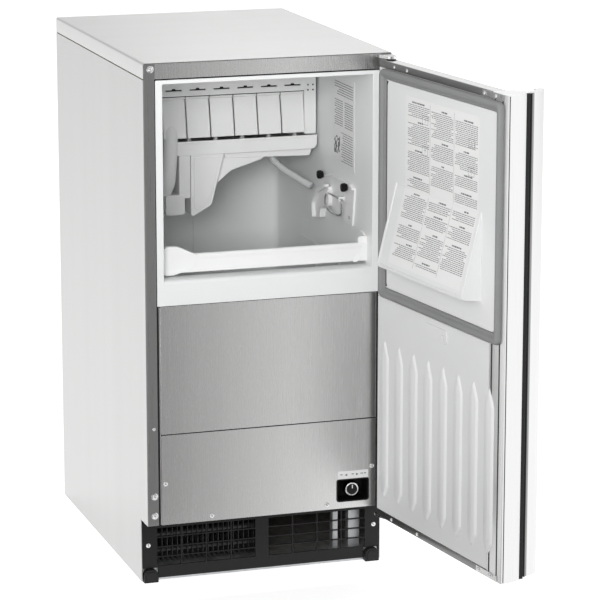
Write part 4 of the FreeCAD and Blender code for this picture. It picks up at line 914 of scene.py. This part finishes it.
def channels():
    bm = bmesh.new()
    for low in (DOOR_TOP - 10.7, DOOR_LOW):
        add_sheet(bm, [soft([(INNER - 1.5, low), (INNER, low, 0.8), (INNER, low + 10.7, 1.2),
                (INNER - 1.5, low + 10.7)], 3)], "yz", SKIN + 0.3, EDGE)
    # The channels take the darker frame steel as painted shade.
    piece("door_strips", bm, FRAME, ["door_channels"], "door", edge=0.3)
    bm = bmesh.new()
    for low in (DOOR_TOP - 9.7, DOOR_LOW + 1):
        plate = soft([(MIDDLE - 178, low, 1.5), (MIDDLE - 118.6, low, 1.5),
                (MIDDLE - 118.6, low + 8.7, 1.5), (MIDDLE - 163, low + 8.7, 0.5),
                (MIDDLE - 166.5, low + 5.4, 0.8), (MIDDLE - 170, low + 8.7, 0.5),
                (MIDDLE - 178, low + 8.7, 1.5)], 3)
        add_sheet(bm, [plate], "xz", INNER, INNER + 1)
    piece("corner_plates", bm, FRONT, body="door", edge=0.25)
    bm = bmesh.new()
    for x, z in ((141, DOOR_TOP - 6), (102, DOOR_TOP - 6), (141, DOOR_LOW + 5), (60, DOOR_LOW + 5)):
        add_screw(bm, (MIDDLE + x, INNER, z), (0, 1, 0), 2.8)
    for x in (-126, -158):
        for z in (DOOR_TOP - 5.5, DOOR_LOW + 5.5):
            add_screw(bm, (MIDDLE + x, INNER + 1, z), (0, 1, 0), 3.0)
    piece("door_screw_set", bm, CHROME, ["door_screws"], "door")


def seal():
    """The gasket: one section swept round a rectangle with rounded corners."""
    section = ((0, 0), (0.2, 3.2), (1.0, 5.6), (2.6, 7.2), (5.0, 7.6), (7.6, 7.2), (9.2, 6.2),
            (10.2, 4.6), (10.8, 3.6), (11.6, 3.4), (13.4, 3.6), (14.6, 2.8), (15, 0))
    rings = []
    for offset, lift in section:
        radius = max(9 - offset * 0.55, 1.2)
        loop = rect((MIDDLE - 178.5 + offset, MIDDLE + 178.5 - offset),
                (SEAL_LOW + offset, SEAL_TOP - offset), radius, 5)
        rings.append([(x, INNER + lift, z) for x, z in loop])
    bm = bmesh.new()
    skin_rings(bm, rings, closed=True)
    piece("seal_ring", bm, SEAL, ["door_gasket"], "door", angle=50)


WEDGE_TOP = 607
WEDGE_OUT = 31
WEDGE_LOW = 488


def upper_panel():
    bm = bmesh.new()
    add_sheet(bm, [rect((SKIN + 0.3, EDGE), (SEAL_LOW - 2, SEAL_TOP + 0.2), 1, 2)], "xz", INNER - 1.5,
            INNER)
    piece("upper_backing", bm, PANEL, ["upper_inner_panel"], "door", edge=0.3)
    bm = bmesh.new()
    add_sheet(bm, [rect((MIDDLE - 163.2, MIDDLE + 159.6), (SEAL_LOW + 15.4, SEAL_TOP - 15.4), 9, 6)],
            "xz", INNER - 0.5, INNER + 1.6)
    piece("upper_pad", bm, PANEL, body="door", edge=0.8)
    # Painted shade: a black strip in the gap at the pad's right side.
    bm = bmesh.new()
    add_sheet(bm, [rect((MIDDLE + 159.9, MIDDLE + 163.3), (SEAL_LOW + 17, SEAL_TOP - 17), 1, 2)], "xz",
            INNER - 0.2, INNER + 0.5)
    piece("pad_gap_painted_shade", bm, SHADOW, body="door")

    lift = INNER + 1.4
    bm = bmesh.new()
    low, high = MIDDLE - 123, MIDDLE + 131
    wedge = soft([(lift - 1, WEDGE_TOP), (lift + 0.6, WEDGE_TOP), (INNER + WEDGE_OUT, WEDGE_LOW + 6, 4),
            (INNER + WEDGE_OUT - 1, WEDGE_LOW, 3), (lift - 1, WEDGE_LOW - 4, 1)], 4)
    add_sheet(bm, [wedge], "yz", low + 1.5, high - 1.5)
    rim = soft([(lift - 1, WEDGE_TOP + 2), (lift + 1.4, WEDGE_TOP + 2, 1),
            (INNER + WEDGE_OUT + 0.9, WEDGE_LOW + 6, 5), (INNER + WEDGE_OUT, WEDGE_LOW - 1, 4),
            (lift - 1, WEDGE_LOW - 5, 1)], 4)
    for a, b in ((low, low + 4), (high - 4, high)):
        add_sheet(bm, [rim], "yz", a, b)
    add_box(bm, (low + 2, high - 2), (INNER + WEDGE_OUT - 4, INNER + WEDGE_OUT + 0.7),
            (WEDGE_LOW - 0.8, WEDGE_LOW + 3.4))
    piece("deflector", bm, PANEL, ["ice_deflector"], "door", edge=1.3)


def instruction_card():
    """The printed card on the pad, which goes on down the deflector's slope."""
    lift = INNER + 1.75
    top = 741
    flat = top - WEDGE_TOP + 1
    slope = Vector((WEDGE_OUT - 2.2, WEDGE_TOP - WEDGE_LOW - 6))
    run = slope.length

    def spot(across, down, out):
        if down <= flat:
            return (across, lift + out, top - down)
        share = (down - flat) / run
        normal = Vector((slope.y, slope.x)).normalized()
        y = INNER + 2.5 + slope.x * share + normal.x * out
        return (across, y, top - flat - slope.y * share + normal.y * out)

    low, high = MIDDLE - 113, MIDDLE + 102
    end = flat + run - 6
    bm = bmesh.new()
    for start, stop in ((0, flat), (flat, end)):
        steps = (start + 0.01, stop)
        add_block(bm, [spot(a, b, c) for a in (low, high) for c in (-0.3, 0.0) for b in steps[::-1]])
    piece("instruction_card", bm, CARD, ["instruction_sheet"], "door")
    rng = random.Random(SEED + 1)
    bm = bmesh.new()
    width = (high - low - 16) / 3
    for column in range(3):
        start = high - 5 - width - column * (width + 4)
        across = (start, start + width - 2)
        down = 6 + column * 2.0
        while down < end - 10:
            block = rng.uniform(18, 46)
            stop = min(down + block, end - 6)
            if down < flat < stop:
                stop = flat - 1
            heading = rng.uniform(0.3, 0.6)
            if stop - down > 10:
                bold = start + width * (0.2 + 0.2 * rng.random()), start + width * (0.2 + heading)
                dashes(bm, rng, spot, bold, down, down + 2.6, 2.2, 1)
                dashes(bm, rng, spot, across, down + 4.4, stop - 2, 0.95, 1.75, indent=6)
            down = stop + (3 if stop != flat - 1 else 4)
    for column in range(2):
        x = high - 5 - (column + 1) * (width + 4) + 1.2
        for part in ((4, flat - 2), (flat + 3, end - 5)):
            add_block(bm, [spot(a, b, c) for a in (x, x + 0.4) for c in (0.02, 0.06)
                    for b in part[::-1]])
    for left, down in ((high - 5 - width + 4, 22), (high - 5 - width + 4, 66), (low + 12, 34),
            (low + 12, 74)):
        for a, b, c, d in ((0, 17, 0, 0.5), (0, 17, 12, 12.5), (0, 0.5, 0, 12.5), (16.5, 17, 0, 12.5),
                (4, 12, 5, 5.5), (8, 8.5, 3, 10)):
            add_block(bm, [spot(x, z, y) for x in (left + a, left + b) for y in (0.02, 0.08)
                    for z in (down + d, down + c)])
    piece("instruction_marks", bm, INK, body="door")


def lower_panel():
    low, high = DOOR_LOW + 11, SEAL_LOW - 2.5
    bm = bmesh.new()
    add_sheet(bm, [rect((SKIN + 0.3, EDGE), (low, high), 1, 2)], "xz", INNER - 1.5, INNER)
    first, pitch, half = MIDDLE - 149.5, 45, 13
    for number in range(8):
        x = first + number * pitch
        rings = []
        for inset, lift in ((0, 0), (0.6, 0.5), (3.2, 2.2), (4.4, 2.5)):
            wide = half - inset
            rings.append([(a, INNER + lift, b) for a, b in soft([(x, 121 + inset * 1.3, 3),
                    (x + wide, 141 + inset * 0.4, 8), (x + wide, 339 - inset * 0.4, 8),
                    (x, 369 - inset * 1.3, 3), (x - wide, 339 - inset * 0.4, 8),
                    (x - wide, 141 + inset * 0.4, 8)], 4)])
        skin_rings(bm, rings)
    piece("lower_fluted_panel", bm, PANEL, ["lower_inner_panel"], "door", angle=40)
    bm = bmesh.new()
    hole = [(MIDDLE - 15 + 3 * cos(a), 409 + 3 * sin(a)) for a in (pi * k / 8 for k in range(16))]
    add_sheet(bm, [rect((MIDDLE - 25, MIDDLE + 41), (399.5, 420), 4, 4), hole], "xz", INNER, INNER + 2)
    piece("catch_plate", bm, PANEL, ["catch_cover"], "door", edge=0.5)


lid()
front_frame()
front_panels()
screw_sets()
toe_kick()
liner()
ice_unit()
tray_and_pump()
bin_control()
labels()
gate()
hinges()
door_body()
channels()
seal()
upper_panel()
instruction_card()
lower_panel()


# ---------- studio
def stand(mesh, material, *hidden):
    """Puts a stage mesh in the scene, hidden from some kinds of ray."""
    mesh.materials.append(material)
    made = bpy.data.objects.new(mesh.name, mesh)
    scene.collection.objects.link(made)
    for kind in hidden:
        setattr(made, f"visible_{kind}", False)
    return made


def glowing(name):
    """A material that only gives out light, with its tree and its emission node."""
    material = bpy.data.materials.new(name)
    material.use_nodes = True
    tree = material.node_tree
    glow = tree.nodes.new("ShaderNodeEmission")
    tree.links.new(glow.outputs["Emission"], tree.nodes["Material Output"].inputs["Surface"])
    return material, tree, glow


def stage_floor():
    bm = bmesh.new()
    add_box(bm, (-30000, 30000), (-30000, 30000), (-12, 0))
    bm.transform(Matrix.Scale(MM, 4))
    lit = {"Emission Color": (1, 1, 1, 1), "Emission Strength": 0.80}
    stand(baked("floor", bm), surface("floor_paint", (0.62, 0.62, 0.62), 0.75,
            (60, 0.004, 0.02, 0.02, 0.0003, 0.5, 0.004), sockets=lit))


def dark_card():
    """What the steel front mirrors: a bent card, darker to its left."""
    left, right, near, far, height = -0.7, 1.1, -0.14, -0.8, 0.95
    mesh = bpy.data.meshes.new("dark_card")
    mesh.from_pydata([(left, near, 0.004), (right, near, 0.004), (right, far, 0.004),
            (left, far, 0.004), (right, far, height), (left, far, height)], [],
            [(0, 1, 2, 3), (3, 2, 4, 5)])
    shade, tree, glow = glowing("dark_card")
    place = tree.nodes.new("ShaderNodeTexCoord")
    split = tree.nodes.new("ShaderNodeSeparateXYZ")
    fade = tree.nodes.new("ShaderNodeMapRange")
    for key, setting in (("From Min", -0.2), ("From Max", 0.2), ("To Min", 0.3), ("To Max", 1.3)):
        fade.inputs[key].default_value = setting
    tree.links.new(place.outputs["Object"], split.inputs["Vector"])
    tree.links.new(split.outputs["X"], fade.inputs["Value"])
    tree.links.new(fade.outputs["Result"], glow.inputs["Strength"])
    card = stand(mesh, shade, "camera", "diffuse", "shadow", "transmission")
    card.location = (0, -0.263, 0)
    card.rotation_euler = (0, 0, radians(16.7))


def studio():
    stage_floor()
    dark_card()

    left, right, near, far = -0.9, 0.45, -2.4, -0.32
    mesh = bpy.data.meshes.new("floor_flag")
    mesh.from_pydata([(left, near, 0.003), (right, near, 0.003), (right, far, 0.003),
            (left, far, 0.003)], [], [(0, 1, 2, 3)])
    stand(mesh, SHADOW[0], "camera", "glossy", "shadow", "transmission")

    bm = bmesh.new()
    bmesh.ops.create_uvsphere(bm, u_segments=48, v_segments=24, radius=14)
    shine, _, light = glowing("reflection_dome")
    light.inputs["Strength"].default_value = 0.74
    stand(baked("reflection_dome", bm), shine, "camera", "diffuse", "shadow", "transmission")

    world = bpy.data.worlds.new("studio")
    scene.world = world
    world.use_nodes = True
    sky = world.node_tree.nodes["Background"]
    sky.inputs["Color"].default_value = (1, 1, 1, 1)
    sky.inputs["Strength"].default_value = 0.42

    def softbox(name, at, aim, size, power):
        lamp = bpy.data.lights.new(name, "AREA")
        lamp.shape = "RECTANGLE"
        lamp.size, lamp.size_y = size
        lamp.energy = power
        made = bpy.data.objects.new(name, lamp)
        scene.collection.objects.link(made)
        made.location = at
        made.rotation_euler = (Vector(aim) - Vector(at)).to_track_quat("-Z", "Y").to_euler()
        made.visible_glossy = name != "front"

    softbox("key", (-2.6, -2.6, 2.9), (0, 0, 0.45), (2.2, 2.2), 14)
    softbox("fill", (2.6, -2.2, 2.0), (0, -0.2, 0.4), (1.6, 2.2), 10)
    softbox("over", (1.4, 2.2, 3.2), (0, 0, 0.4), (2.4, 2.0), 40)
    softbox("front", (-1.6, -3.75, 1.45), (0.0, -0.1, 0.55), (1.3, 0.9), 88)

    camera = bpy.data.cameras.new("camera")
    camera.sensor_width = 36
    camera.lens = 183.05
    camera.clip_end = 100
    eye = bpy.data.objects.new("camera", camera)
    scene.collection.objects.link(eye)
    eye.location = (-1.3094, -4.4423, 1.4262)
    down, around = 12.823, -17.985
    eye.rotation_euler = (radians(90 - down), 0, radians(around))
    scene.camera = eye
    scene.view_settings.view_transform = "Standard"


studio()
